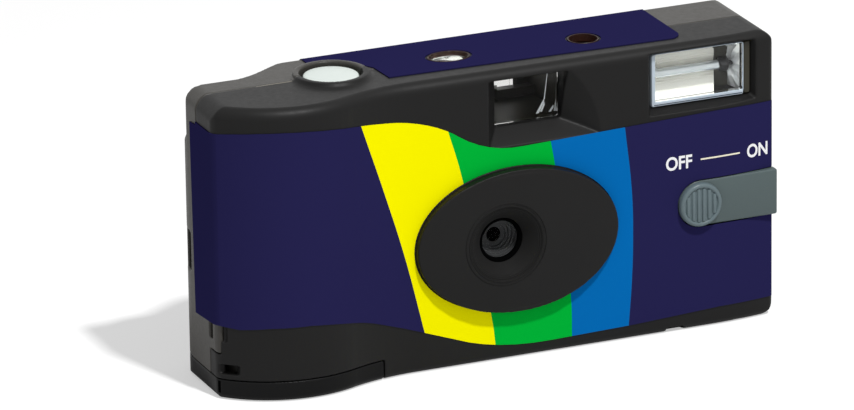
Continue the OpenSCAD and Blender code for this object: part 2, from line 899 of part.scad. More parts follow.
// Trap door under the cassette, swinging on a pin along its rear edge
module film_door() {
  hook_w = 2;
  hook_t = 1;
  hook_rise = 4;
  hook_x = door_x1 - hook_w - wall;
  hook_y = -front_depth + hook_w;
  color([0.13, 0.13, 0.14]) place() {
    difference() {
      union() {
        difference() {
          intersection() {
            moulding();
            door_zone(0);
          }
          block([-far, hinge_y - 2 * hinge_r, hinge_z], [far, far, far]);
        }
        rod_x(hinge_y, hinge_z, hinge_r, hinge_x0, door_x1);
        block([hinge_x0, hinge_y - hinge_r, wall / 2], [door_x1, hinge_y, hinge_z]);
        intersection() {
          body_form(wall / 2);
          block([door_x1 - wall, -far, 0], [door_x1, hinge_y, door_h - air]);
        }
        block([hook_x, hook_y, wall / 2], [hook_x + hook_w, hook_y + hook_t, door_h + hook_rise]);
      }
      for (x = lug_xs) lug_room(x);
    }
    for (x = lug_xs)
      rod_x(hinge_y, hinge_z, hinge_pin_r, x - lug_w / 2 - over, x + lug_w / 2 + over);
  }
}

// Gap in the door's hinge barrel that clears one lug through the whole swing
module lug_room(x) {
  reach = hinge_r + slide_clear;
  block([x - lug_w / 2 - slide_clear, hinge_y - reach, hinge_z - reach],
    [x + lug_w / 2 + slide_clear, far, far]);
}

// Printed wrap over the front and round both ends
module front_label() {
  side_rear = [[3, 52.9], [2.1, 14.3]];
  side_front = [[-10, 15.2], [-10, 53.9]];
  color([0.145, 0.133, 0.302]) place() difference() {
    intersection() {
      difference() {
        body_form(-label_t);
        body_form(0);
      }
      union() {
        extrude_y(-far, 0) polygon(front_label_outline());
        extrude_x(-half_w - over, -half_w + wall) polygon(concat(side_rear, side_front));
      }
    }
    boss_oval(-air, -far, 0);
    switch_channel();
  }
}

// Points of a curve that leaves a towards b and arrives at c
function bend(a, b, c) = [for (k = [0:6]) let (t = k / 6, u = 1 - t)
  u * u * a + 2 * u * t * b + t * t * c];

// Edge of the wrap as seen from the front, clockwise from the upper left
function front_label_outline() = let (left = -half_w - over, right = half_w - 2 * label_t) concat(
  bend([left, 53.6], [-48, 55.6], [-31, 53]),
  bend([-22, 51.9], [-15, 50.8], [-10.2, 47.9]),
  bend([-9.2, 47.2], [-3, 42.9], [4.5, 43.3]),
  [[46, 44.6], [right, 44.5], [right, 3.9], [46, 3.9], [28, 3]],
  bend([10, 2.6], [-2, 2.3], [-10.7, 6]),
  bend([-25.7, 11.5], [-32.5, 14.3], [-42, 15.1]),
  [[-50, 15.1], [-55, 14.7], [left, 15.3]]);

// Printed sheet on the top, folded down over the back
module top_label() {
  left_edge = -button_x - 1.5;
  right_edge = 40.5;
  front_edge = -7.8;
  corner = 3;
  back_z0 = 8;
  edge = 0.4;
  eye_edge = 1;
  mound_r = collar_r + collar_fillet + edge;
  collar_edge = [[-button_x, 0], [-button_x + collar_r, 3.4], [-button_x + mound_r, 0.6],
    [-button_x + mound_r + edge, -6.2]];
  eye = [eyepiece_w / 2 + eye_edge, eyepiece_h / 2 + eye_edge];
  color([0.145, 0.133, 0.302]) place() difference() {
    intersection() {
      difference() {
        body_form(-label_t);
        body_form(0);
      }
      union() {
        translate([0, 0, body_h - 2 * top_edge_r]) linear_extrude(far) difference() {
          polygon(concat([[left_edge, far], [left_edge, 0]], collar_edge,
            [[right_edge, front_edge], [right_edge, far]]));
          corner_cut(right_edge, front_edge, -1, 1, corner);
        }
        extrude_y(back_depth - back_corner_r, far)
          rounded(left_edge, right_edge, back_z0, far, [corner, corner, 0, 0]);
      }
    }
    block([-far, -far, -over], [far, front_edge, far]);
    block([-far, -far, -over], [far, back_depth - back_corner_r, body_h - top_edge_r]);
    post(-button_x, 0, collar_r + edge, 0, far);
    intersection() {
      post(-button_x, 0, mound_r, 0, far);
      block([-far, -far, 0], [far, 0, far]);
    }
    counter_window(edge);
    post(lamp_x, lamp_y, lamp_hole_r + edge, 0, far);
    block([eyepiece_x - eye[0], 0, eyepiece_z - eye[1]], [eyepiece_x + eye[0], far, eyepiece_z + eye[1]]);
  }
}

// Inner frame with the film gate, both chambers, the shutter board and the decks
module chassis() {
  color([0.08, 0.08, 0.08]) place() difference() {
    union() {
      intersection() {
        body_form(wall + air / 2);
        union() {
          gate_plate();
          cassette_chamber();
          roll_chamber();
          board_and_decks();
          cell_walls();
        }
      }
      light_cone();
      mechanism_posts();
    }
    plug_y(gate_rect(0), gate_y + lap, cone_rect(0), board_y - lap);
    rod_y(lens_x, lens_z, aperture_r, board_y - 2 * board_t, board_y + over);
    post(cassette_x, cassette_y, hub_r + pin_clear, deck_z - over, deck_top + over);
    post(-button_x, 0, stem_r + pin_clear, deck_z - over, far);
    post(sprocket_x, sprocket_y, shaft_r + pin_clear, shaft_z0 - shaft_block, far);
    post(sprocket_x, sprocket_y, sprocket_r + tooth_h + air, perf_z - sprocket_room,
      perf_z + sprocket_room);
    thumb_recess(wall + air);
    rod_y(rocker_x, rocker_z, rocker_pin_r + pin_clear, rocker_y - ear_out - over,
      rocker_y + ear_out + over);
  }
}

function gate_rect(g) = [lens_x - gate_w / 2 - g, lens_x + gate_w / 2 + g,
  lens_z - gate_h / 2 - g, lens_z + gate_h / 2 + g];
function cone_rect(g) = let (half = [3, 2.5]) [lens_x - half[0] - g, lens_x + half[0] + g,
  lens_z - half[1] - g, lens_z + half[1] + g];

// Flat plate that the film runs across
module gate_plate() {
  lip_room = 0.6;
  roll_gap = 2;
  foot_z = 5;
  block([cassette_x + cassette_r + lip_room, gate_y - gate_t, foot_z],
    [roll_x - roll_r - roll_gap, gate_y, deck_top]);
}

// Light-tight walls from the lens to the gate
module light_cone() {
  plug_y(gate_rect(rib), gate_y, cone_rect(rib), board_y - board_t);
}

// Half-round wall in front of the cassette with its ceiling
module cassette_chamber() {
  open_y = 4;
  difference() {
    post(cassette_x, cassette_y, chamber_r + rib, can_z0, deck_top);
    post(cassette_x, cassette_y, chamber_r, can_z0 - over, deck_z);
    block([-far, cassette_y + open_y, 0], [far, far, deck_z - lap]);
  }
  block([cassette_x + chamber_r, cassette_y - open_y, can_z0],
    [cassette_x + chamber_r + rib, gate_y, deck_top]);
}

// Half-round wall in front of the roll with its floor
module roll_chamber() {
  floor_t = 1.2;
  floor_z = film_z0 - spool_rim - floor_t - air;
  open_y = 4;
  grip = 2;
  difference() {
    post(roll_x, roll_y, roll_chamber_r + rib, floor_z, shelf_top);
    post(roll_x, roll_y, roll_chamber_r, floor_z + floor_t, shelf_z);
    block([roll_x - far, roll_y + open_y, floor_z + floor_t], [far, far, shelf_z]);
  }
  post(roll_x, roll_y, spindle_r, floor_z, film_z0 + grip);
  post(roll_x, roll_y, spindle_r, film_z1 - grip, shelf_top);
  block([roll_wall_x, roll_y - over, floor_z], [roll_wall_x + rib, gate_y, shelf_top]);
}

// Shutter board behind the lens, mechanism deck at the left and shelf at the right
module board_and_decks() {
  half_board = 11.5;
  board_z0 = 13;
  deck_side = 4;
  step_x = finder_x - wall - air;
  board_x0 = lens_x - half_board;
  board_top = min(finder_frame_z0 - air, deck_top);
  block([board_x0, board_y - board_t, board_z0], [lens_x + half_board, board_y, board_top]);
  block([board_x0, board_y - board_t, board_z0], [step_x, board_y, deck_top]);
  block([-button_x - deck_side, board_y - board_t, deck_z], [step_x, gate_y, deck_top]);
  block([step_x - rib, finder_back, shelf_z], [step_x, gate_y, deck_top]);
  block([step_x - rib, finder_back, shelf_z], [half_w, gate_y, shelf_top]);
  post(-button_x, 0, bush_r, deck_z, deck_top + bush_h);
}

// Walls at both ends of the dry cell, reaching forward from the gate
module cell_walls() {
  wall_t = 1.2;
  low = wall + air;
  high = cell_z + cell_r;
  for (x = [cell_x0 - metal_t - wall_t, cell_x1 + metal_t])
    block([x, cell_y - cell_r, low], [x + wall_t, gate_y, high]);
}

// Pins and posts that carry the moving levers
module mechanism_posts() {
  root = 0.5;
  ear_half = 1.3;
  shoulder = 0.4;
  shoulder_z = deck_top + 1.6;
  dial_seat = 0.1;
  pin_end = 0.3;
  bearing_half = 3;
  lamp_post_r = 1.5;
  post(post_x, post_y, post_r, deck_top - root, shoulder_z);
  post(post_x, post_y, post_r + shoulder, shoulder_z, dial_z - dial_seat);
  post(post_x, post_y, dial_pin_r, dial_z - over, dial_z + dial_t + pin_end);
  rod_y(pivot_x, pivot_z, pivot_r, holder_y + slide_clear / 2, board_y - board_t / 2);
  for (y = [rocker_y - ear_out, rocker_y + ear_in])
    block([rocker_x - ear_half, y, deck_top - root], [rocker_x + ear_half, y + ear_w, rocker_z + ear_half]);
  block([sprocket_x - bearing_half, sprocket_y - bearing_half, shaft_z0 - root],
    [sprocket_x + bearing_half, gate_y - gate_t / 2, shaft_z0 + 4 * root]);
  post(lamp_x, lamp_y, lamp_post_r, shelf_top - root, body_h - wall - lamp_h - dial_seat);
}

// Taking lens, thicker at its middle
module lens() {
  edge = 0.7;
  dome_r = (lens_r * lens_r + edge * edge) / (2 * edge);
  color([0.75, 0.82, 0.86, 0.5]) place() revolve_y(lens_x, lens_z, $fn = 200) intersection() {
    translate([0, lens_y]) square([lens_r, lens_t]);
    translate([0, lens_y + dome_r]) circle(dome_r);
  }
}

// Plate in front of the shutter blade with the lens seat
module lens_holder() {
  half_plate = 10;
  plate_z0 = 15;
  corner = 2;
  seat_wall = 1.2;
  seat_lip = 0.9;
  bore_r = 3.4;
  foot_x = [lens_x - 9, lens_x + 8];
  foot_w = 1;
  foot_z = [15.5, 17];
  seat_r = lens_r + pin_clear;
  plate_y = holder_y - holder_t;
  seat_y = plate_y - lens_t + seat_lip;
  color([0.1, 0.1, 0.1]) place() difference() {
    union() {
      extrude_y(plate_y, holder_y) rounded(lens_x - half_plate, lens_x + half_plate, plate_z0,
        pivot_z + 3 * pivot_r, [corner, corner, corner, corner]);
      rod_y(lens_x, lens_z, seat_r + seat_wall, seat_y, plate_y + holder_t / 2);
      for (x = foot_x)
        block([x, plate_y, foot_z[0]], [x + foot_w, board_y - board_t, foot_z[1]]);
    }
    rod_y(lens_x, lens_z, seat_r, seat_y - over, plate_y);
    rod_y(lens_x, lens_z, bore_r, plate_y - over, holder_y + over);
  }
}

// Clear front block of the finder, stepped so that it sits behind the scoop
module viewfinder_front_lens() {
  step = 0.8;
  face_y = finder_y + 0.4;
  flange_y = finder_y + wall + seat_play;
  flange_t = 1.5;
  color([0.8, 0.86, 0.88, 0.4]) place() union() {
    block([finder_x + seat_play, face_y, finder_z0 + seat_play],
      [finder_x1 - seat_play, flange_y + seat_play, finder_z1 - seat_play]);
    block([finder_x - step, flange_y, finder_z0 - air],
      [finder_x1 + step, flange_y + flange_t, body_h - wall - air]);
  }
}

// Eyepiece seated in the frame inside the back
module viewfinder_rear_lens() {
  front_y = back_depth - wall - 1.1;
  back_y = back_depth - 0.6;
  half = [eyepiece_w / 2 - pin_clear, eyepiece_h / 2 - pin_clear];
  color([0.8, 0.86, 0.88, 0.4]) place()
    block([eyepiece_x - half[0], front_y, eyepiece_z - half[1]],
      [eyepiece_x + half[0], back_y, eyepiece_z + half[1]]);
}

// Clear flash cover with a flange behind the front
module flash_window() {
  flange = 0.8;
  face_rise = 0.6;
  end_gap = 1.5;
  flange_y = flash_y + wall + seat_play / 2;
  flange_x1 = min(flash_x1 + flange, half_w - wall - air - end_gap);
  flange_z1 = min(flash_z1 + flange, body_h - wall - air);
  color([0.85, 0.9, 0.9, 0.4]) place() union() {
    block([flash_x0 + seat_play, flash_y - face_rise, flash_z0 + seat_play],
      [flash_x1 - seat_play, flange_y + seat_play / 2, flash_z1 - seat_play]);
    block([flash_x0 - flange, flange_y, flash_z0 - flange],
      [flange_x1, flash_y + wall + window_t, flange_z1]);
  }
}

// Trough that throws the light forward, standing on the shelf
module flash_reflector() {
  depth = 6;
  skin = 0.7;
  foot_in = 2;
  trough_r = flash_h / 2 - skin;
  color([0.93, 0.92, 0.86]) place() difference() {
    union() {
      block([mouth_x0, mouth_y, flash_z0 + seat_play], [mouth_x1, mouth_y + depth, flash_z1 - seat_play]);
      block([mouth_x0 + foot_in, mouth_y + over, shelf_top],
        [mouth_x1 - foot_in, mouth_y + depth, flash_z0 + 2 * seat_play]);
    }
    rod_x(mouth_y, tube_z, trough_r, mouth_x0 + skin, mouth_x1 - skin);
    rod_x(tube_y, tube_z, tube_d / 2 + pin_clear, flash_x0 - over, mouth_x1 + over);
  }
}

// Xenon tube across the reflector
module flash_tube() {
  color([0.9, 0.94, 0.95, 0.5]) place() rod_x(tube_y, tube_z, tube_d / 2, mouth_x0, mouth_x1);
}

// Dark terminal sleeves on both ends of the tube
module flash_tube_caps() {
  sleeve_len = 0.9;
  sleeve_t = 0.3;
  color([0.12, 0.12, 0.12]) place()
    for (x = [mouth_x0 - sleeve_len, mouth_x1])
      rod_x(tube_y, tube_z, tube_d / 2 + sleeve_t, x, x + sleeve_len);
}

// Flash circuit board behind the switch
module circuit_board() {
  corner = 1;
  notch_w = 1.4;
  notch_h = 0.6;
  color([0.45, 0.33, 0.16]) place() difference() {
    extrude_y(board_front, board_front + pcb_t)
      rounded(pcb_x0, pcb_x1, pcb_z0, pcb_z1, [corner, corner, corner, corner]);
    block([cell_x1 - over, -far, 0], [cell_x1 + metal_t + notch_w, far, pcb_z0 + notch_h]);
  }
}

// Storage capacitor with a rolled rim
module flash_capacitor() {
  bead_z = cap_z0 + 2.5;
  bead_r = 0.6;
  bead_out = 0.2;
  color([0.1, 0.1, 0.13]) place() difference() {
    post(cap_x, cap_y, cap_d / 2, cap_z0, cap_z0 + cap_len);
    translate([cap_x, cap_y, bead_z]) rotate_extrude()
      translate([cap_d / 2 + bead_out, 0]) circle(bead_r);
  }
}

// Step-up transformer on the back of the board
module flash_transformer() {
  core = [6, 5.2, 1.5];
  winding_h = 6.5;
  winding_r = 2.5;
  root = 0.5;
  below_top = 13;
  z0 = pcb_z1 - below_top;
  z1 = z0 + core[2] + winding_h;
  color([0.72, 0.6, 0.2]) place() union() {
    for (z = [z0, z1]) translate([part_x, part_y, z]) cube(core);
    post(part_x + core[0] / 2, part_y + core[1] / 2, winding_r, z0 + core[2] - root, z1 + root);
  }
}

// Trigger coil beside the capacitor
module trigger_coil() {
  r = 2.3;
  rim_t = 1;
  rim_step = 0.4;
  rim_zs = [pcb_z0 + 3, pcb_z0 + 8];
  x = part_x + 3;
  y = part_y + r;
  color([0.6, 0.35, 0.15]) place() union() {
    for (z = rim_zs) post(x, y, r, z, z + rim_t);
    post(x, y, r - rim_step, rim_zs[0] + rim_t / 2, rim_zs[1] + rim_t / 2);
  }
}

// Ready lamp standing under its hole in the top
module ready_lamp() {
  straight_h = 3.4;
  z0 = body_h - wall - lamp_h;
  color([0.95, 0.45, 0.2, 0.7]) place() union() {
    post(lamp_x, lamp_y, lamp_r, z0, z0 + straight_h);
    intersection() {
      translate([lamp_x, lamp_y, z0 + straight_h]) sphere(lamp_r);
      post(lamp_x, lamp_y, lamp_r, z0 + straight_h - air, z0 + lamp_h);
    }
  }
}

// Dry cell lying along the base
module battery() {
  nub = 0.8;
  nub_r = 2;
  color([0.75, 0.62, 0.2]) place() union() {
    rod_x(cell_y, cell_z, cell_r, cell_x0, cell_x1 - nub);
    rod_x(cell_y, cell_z, nub_r, cell_x1 - 2 * nub, cell_x1);
  }
}

// Sheet contacts against both ends of the cell
module battery_contacts() {
  w = 7;
  color([0.78, 0.78, 0.75]) place()
    for (x = [cell_x0 - metal_t, cell_x1])
      block([x, cell_y - w / 2, cell_z - w / 2], [x + metal_t, cell_y + w / 2, cell_z + w / 2]);
}

// Leaf contact on the shutter board that fires the flash
module sync_contact() {
  leaf_x = [lens_x - 11, lens_x - 9.2];
  leaf_z = [lens_z - 7, lens_z - 1];
  arm_x1 = lens_x - 5.5;
  arm_z = [lens_z - 7.4, lens_z - 6.4];
  front = board_y - board_t;
  color([0.8, 0.66, 0.3]) place() union() {
    block([leaf_x[0], front - metal_t, leaf_z[0]], [leaf_x[1], front, leaf_z[1]]);
    block([leaf_x[0], front - metal_t, arm_z[0]], [arm_x1, front, arm_z[1]]);
  }
}

// Can of the film cassette with its light-trap lip
module cassette_shell() {
  skin = 0.5;
  lip_x0 = cassette_x + 3;
  lip_x1 = cassette_x + cassette_r - 2.6;
  lip_t = [1.3, 0.9];
  end_in = 1;
  lip_in = 1.2;
  slot = film_t + 0.5;
  color([0.2, 0.42, 0.24]) place() difference() {
    union() {
      post(cassette_x, cassette_y, cassette_r - skin, can_z0 + end_in, can_z1 - end_in);
      block([lip_x0, film_y - lip_t[0], can_z0 + lip_in],
        [lip_x1, film_y + film_t + lip_t[1], can_z1 - lip_in]);
    }
    post(cassette_x, cassette_y, cassette_r - 2 * skin, can_z0, can_z1);
    block([lip_x0, film_y - slot / 2, can_z0], [far, film_y + film_t + slot / 2, can_z1]);
  }
}

// Two pressed end caps of the cassette
module cassette_end_caps() {
  color([0.15, 0.15, 0.15]) place() {
    translate([0, 0, can_z0]) cassette_cap();
    translate([0, 0, can_z1]) mirror([0, 0, 1]) cassette_cap();
  }
}

// One end cap, with its flat end at Z = 0 and its skirt upwards, cut away for the lip
module cassette_cap() {
  hole_r = 3.4;
  end_t = 1;
  skirt_h = 2;
  skin = 0.45;
  lip_x = cassette_x + 2.8;
  lip_y = film_y - 1.6;
  difference() {
    post(cassette_x, cassette_y, cassette_r, 0, skirt_h);
    post(cassette_x, cassette_y, cassette_r - skin, end_t, skirt_h + over);
    post(cassette_x, cassette_y, hole_r, -over, skirt_h + over);
    block([lip_x, lip_y, end_t], [far, far, skirt_h + over]);
  }
}

// Film from the roll across the gate and into the cassette lip
module film_strip() {
  tongue = 4.6;
  x0 = cassette_x + cassette_r - tongue;
  x1 = roll_x;
  first = ceil((x0 + perf_w - sprocket_x) / perf_pitch);
  last = floor((x1 - perf_w - sprocket_x) / perf_pitch);
  color([0.35, 0.22, 0.16]) place() difference() {
    block([x0, film_y, film_z0], [x1, film_y + film_t, film_z1]);
    for (k = [first:last], z = [film_z0 + perf_inset, film_z1 - perf_inset])
      block([sprocket_x + k * perf_pitch - perf_w / 2, film_y - over, z - perf_h / 2],
        [sprocket_x + k * perf_pitch + perf_w / 2, film_y + over, z + perf_h / 2]);
  }
}

// White shutter button with a retaining flange, a guide stem and a presser leg
module shutter_button() {
  leg_half = 0.9;
  keep = 0.5;
  stem_in = 0.8;
  color([0.93, 0.95, 0.95]) place() union() {
    post(-button_x, 0, button_d / 2, flange_top - flange_t, cap_top);
    post(-button_x, 0, collar_d / 2 + keep, flange_top - flange_t, flange_top);
    post(-button_x, 0, stem_r, deck_top - stem_in, flange_top);
    block([rocker_x - rocker_reach - leg_half, rocker_y - leg_half, leg_z],
      [rocker_x - rocker_reach + leg_half, rocker_y + leg_half, flange_top]);
  }
}

// Points of a coil that climbs from z0 to z1, six sides to the wire
function coil_points(r, wire, z0, z1, turns) = [
  for (k = [0:8 * turns], s = [0:5])
    let (a = 45 * k, q = r + wire * cos(60 * s))
      [q * cos(a), q * sin(a), z0 + (z1 - z0) * k / (8 * turns) + wire * sin(60 * s)]];
function coil_faces(turns) = let (rings = 8 * turns) concat(
  [[5, 4, 3, 2, 1, 0]],
  [for (k = [0:rings - 1], s = [0:5]) let (t = (s + 1) % 6)
    [6 * k + s, 6 * k + t, 6 * k + 6 + t]],
  [for (k = [0:rings - 1], s = [0:5]) let (t = (s + 1) % 6)
    [6 * k + s, 6 * k + 6 + t, 6 * k + 6 + s]],
  [[for (s = [0:5]) 6 * rings + s]]);

module coil(r, wire, z0, z1, turns) {
  polyhedron(coil_points(r, wire, z0, z1, turns), coil_faces(turns));
}

// Return spring between the bush and the button
module button_spring() {
  echo(button_spring_self_gap = (spring_z1 - spring_z0) / spring_turns - 2 * spring_wire);
  color([0.7, 0.7, 0.72]) place() translate([-button_x, 0, 0])
    coil(spring_r, spring_wire, spring_z0, spring_z1, spring_turns);
}

// Rocker that the button tips to free the striker
module release_lever() {
  half_wide = 1.2;
  nose = 0.7;
  nose_w = 1.4;
  nose_lap = 0.5;
  heel = 1.1;
  tail = 5.2;
  color([0.55, 0.55, 0.5]) place() union() {
    block([rocker_x - rocker_reach - heel, rocker_y - half_wide, rocker_z - rocker_t / 2],
      [rocker_x + tail, rocker_y + half_wide, rocker_z + rocker_t / 2]);
    rod_y(rocker_x, rocker_z, rocker_pin_r, rocker_y - ear_out, rocker_y + ear_out);
    block([rocker_x + tail - nose_w, rocker_y - half_wide, striker_z0 + striker_t - nose_lap],
      [rocker_x + tail, rocker_y - half_wide + nose, rocker_z]);
  }
}

// Sprung lever that kicks the shutter blade
module striker_lever() {
  hub = 2.3;
  half_wide = 1;
  arm_tip = [pivot_x - 4.55, blade_y - 0.9];
  tail_tip = [rocker_x + 4.6, rocker_y + 0.6];
  color([0.6, 0.58, 0.5]) place() difference() {
    union() {
      post(post_x, post_y, hub, striker_z0, striker_z0 + striker_t);
      bar([post_x, post_y], arm_tip, half_wide, striker_z0, striker_t);
      bar([post_x, post_y], tail_tip, half_wide, striker_z0, striker_t);
    }
    post(post_x, post_y, post_r + pin_clear, 0, far);
  }
}

// Flat bar of half width w from point a to point b
module bar(a, b, w, z0, t) {
  d = b - a;
  translate([a[0], a[1], z0]) rotate([0, 0, atan2(d[1], d[0])])
    translate([0, -w, 0]) cube([norm(d), 2 * w, t]);
}

// Coil round the post above the striker
module striker_spring() {
  climb = striker_coil_z1 - striker_coil_z0;
  echo(striker_spring_self_gap = climb / striker_coil_turns - 2 * spring_wire);
  color([0.7, 0.7, 0.72]) place() translate([post_x, post_y, 0])
    coil(striker_coil_r, spring_wire, striker_coil_z0, striker_coil_z1, striker_coil_turns);
}

// Thin blade that covers the aperture and is kicked aside by its tail
module shutter_blade() {
  rest_gap = 0.25;
  hub = 2.2;
  cover_r = 3.1;
  neck = [[pivot_x - 1.6, pivot_z - 1], [pivot_x + 1.6, pivot_z + 1],
    [lens_x + 1.9, lens_z + 1], [lens_x - 1.9, lens_z - 1]];
  tail_x = pivot_x - 2.6;
  tail_z = striker_z0 + striker_t;
  tail = [[pivot_x - 1.7, pivot_z], [pivot_x + 1.7, pivot_z], [tail_x + 1, tail_z], [tail_x - 0.8, tail_z]];
  y1 = board_y - board_t - rest_gap;
  y0 = y1 - blade_t;
  color([0.1, 0.1, 0.1]) place() difference() {
    union() {
      rod_y(pivot_x, pivot_z, hub, y0, y1);
      rod_y(lens_x, lens_z, cover_r, y0, y1);
      for (outline = [neck, tail]) extrude_y(y0, y1) polygon(outline);
    }
    rod_y(pivot_x, pivot_z, pivot_r + pin_clear, y0 - over, y1 + over);
  }
}

// Sliding flash switch with a ribbed round pad and a leg behind
module flash_switch() {
  pad_inset = 0.3;
  pad_rise = 1.4;
  pad_root = 0.5;
  pad_floor = 0.3;
  rim = 0.7;
  ribs = 6;
  rib_pitch = 1.2;
  rib_w = 0.7;
  rib_sink = 0.2;
  pad_x = switch_x0 + pad_d / 2 + pad_inset;
  pad_y = -switch_face - pad_rise;
  keeper_y = channel_y + channel_t + slide_clear;
  color([0.36, 0.4, 0.41]) place() union() {
    extrude_y(-switch_face, -switch_face + switch_t) switch_outline(0);
    difference() {
      rod_y(pad_x, switch_z, pad_d / 2, pad_y, -switch_face + pad_root);
      rod_y(pad_x, switch_z, pad_d / 2 - rim, pad_y - over, -switch_face - pad_floor);
    }
    intersection() {
      rod_y(pad_x, switch_z, pad_d / 2 - rim / 2, pad_y + rib_sink, -switch_face);
      for (k = [0:ribs - 1])
        translate([pad_x + (k - (ribs - 1) / 2) * rib_pitch, 0, 0])
          block([-rib_w / 2, -far, 0], [rib_w / 2, far, far]);
    }
    block([leg_x, -switch_face + switch_t - pad_root, switch_z - leg_w / 2],
      [leg_x + leg_w, keeper_y, switch_z + leg_w / 2]);
    block([leg_x, keeper_y, switch_z - leg_w], [leg_x + leg_w, keeper_y + keeper_t, switch_z + leg_w]);
  }
}

// Bridging contact on the back of the switch leg
module switch_contact() {
  half_h = 2.4;
  edge = 0.4;
  y0 = channel_y + channel_t + slide_clear + keeper_t;
  color([0.8, 0.66, 0.3]) place()
    block([leg_x + edge, y0, switch_z - half_h], [leg_x + leg_w - edge, y0 + metal_t, switch_z + half_h]);
}

// Ridged film advance wheel with a hub that runs in the deck
module thumb_wheel() {
  ridge_r = 0.45;
  seat = 0.1;
  shoulder = 1.5;
  dish_rim = 3;
  dish_depth = 0.8;
  spool_seat = 0.6;
  wheel_top = wheel_z + wheel_t;
  color([0.16, 0.16, 0.17]) place() difference() {
    union() {
      post(cassette_x, cassette_y, wheel_r, wheel_z, wheel_top);
      post(cassette_x, cassette_y, hub_r, deck_z + seat, wheel_z + seat);
      post(cassette_x, cassette_y, hub_r + shoulder, deck_top + slide_clear, wheel_z + seat);
    }
    for (k = [0:wheel_ridges - 1])
      rotate_about(cassette_x, cassette_y, 360 * k / wheel_ridges)
        post(wheel_r + ridge_r / 3, 0, ridge_r, wheel_z - over, wheel_top + over);
    post(cassette_x, cassette_y, spool_r + pin_clear, 0, deck_top + spool_seat);
    post(cassette_x, cassette_y, wheel_r - dish_rim, wheel_top - dish_depth, far);
  }
}

module rotate_about(x, y, a) {
  translate([x, y, 0]) rotate([0, 0, a]) children();
}

// Spool of the cassette, turned by the wheel
module cassette_spool() {
  key_out = 0.6;
  key_in = 0.5;
  core = 6;
  core_in = 2;
  bore = 1.6;
  bore_h = 6;
  color([0.1, 0.1, 0.1]) place() difference() {
    union() {
      post(cassette_x, cassette_y, spool_r, can_z0 - key_out, deck_top + key_in);
      post(cassette_x, cassette_y, core, can_z0 + core_in, can_z1 - core_in);
    }
    post(cassette_x, cassette_y, bore, 0, can_z0 + bore_h);
  }
}

// Sprocket with its upright shaft and the finger that steps the counter
module sprocket() {
  tooth_w = 1.2;
  tooth_root = 0.5;
  finger_w = 0.8;
  finger_lift = 0.1;
  z0 = perf_z - sprocket_t / 2;
  z1 = perf_z + sprocket_t / 2;
  finger_r = norm([post_x - sprocket_x, post_y - sprocket_y]) - dial_r - slide_clear;
  color([0.85, 0.85, 0.8]) place() translate([sprocket_x, sprocket_y, 0]) union() {
    post(0, 0, sprocket_r, z0, z1);
    for (k = [0:sprocket_teeth - 1]) rotate([0, 0, 360 * k / sprocket_teeth])
      block([-tooth_w / 2, sprocket_r - tooth_root, z0], [tooth_w / 2, sprocket_r + tooth_h, z1]);
    post(0, 0, shaft_r, shaft_z0, dial_z + dial_t);
    rotate([0, 0, atan2(post_y - sprocket_y, post_x - sprocket_x)])
      block([0, -finger_w / 2, dial_z + finger_lift], [finger_r, finger_w / 2, dial_z + dial_t]);
  }
}

// Notched dial of the frame counter
module counter_dial() {
  step = 0.8;
  notch_r = 0.4;
  notch_out = 0.1;
  color([0.94, 0.94, 0.92]) place() difference() {
    union() {
      post(post_x, post_y, dial_r, dial_z, dial_z + dial_t);
      post(post_x, post_y, dial_r - step, dial_z, dial_top);
    }
    post(post_x, post_y, dial_pin_r + pin_clear, 0, dial_z + dial_t + 2 * air);
    for (k = [0:dial_notches - 1])
      rotate_about(post_x, post_y, 360 * k / dial_notches)
        post(dial_r + notch_out, 0, notch_r, dial_z - over, dial_z + dial_t + over);
  }
}

// Plain spool that the unexposed film is wound on
module supply_spool() {
  rim_t = 0.8;
  flange_r = roll_r + roll_flange;
  low = film_z0 - spool_rim;
  high = film_z1 + spool_rim;
  color([0.12, 0.12, 0.12]) place() difference() {
    union() {
      post(roll_x, roll_y, core_r, low, high);
      post(roll_x, roll_y, flange_r, low, low + rim_t);
      post(roll_x, roll_y, flange_r, high - rim_t, high);
    }
    post(roll_x, roll_y, spindle_r + pin_clear, 0, far);
  }
}

// Wound film on the spool
module film_roll() {
  color([0.3, 0.2, 0.16]) place() difference() {
    post(roll_x, roll_y, roll_r, film_z0, film_z1);
    post(roll_x, roll_y, core_r, 0, far);
  }
}

front_cover();
back_cover();
film_door();
front_label();
top_label();
chassis();
lens();
lens_holder();
viewfinder_front_lens();
viewfinder_rear_lens();
flash_window();
flash_reflector();
flash_tube();
flash_tube_caps();
circuit_board();
flash_capacitor();
flash_transformer();
trigger_coil();
ready_lamp();
battery();
battery_contacts();
sync_contact();
cassette_shell();
cassette_end_caps();
film_strip();
shutter_button();
button_spring();
release_lever();
striker_lever();
striker_spring();
shutter_blade();
flash_switch();
switch_contact();
thumb_wheel();
cassette_spool();
sprocket();
counter_dial();
supply_spool();
film_roll();
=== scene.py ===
# %% [markdown]
# # Dressing a single-use film camera
# The imported frame gives every piece of the camera at its real size. This lesson leaves those
# pieces where they are and gives them their looks: softened mouldings, printed paper, clear
# plastic and the small parts that the eye goes to first. All of it could be modelled anew, but then
# it could drift from the solids of the frame.

# %% Load the frame
import math

import bmesh
import bpy
from mathutils import Matrix, Vector


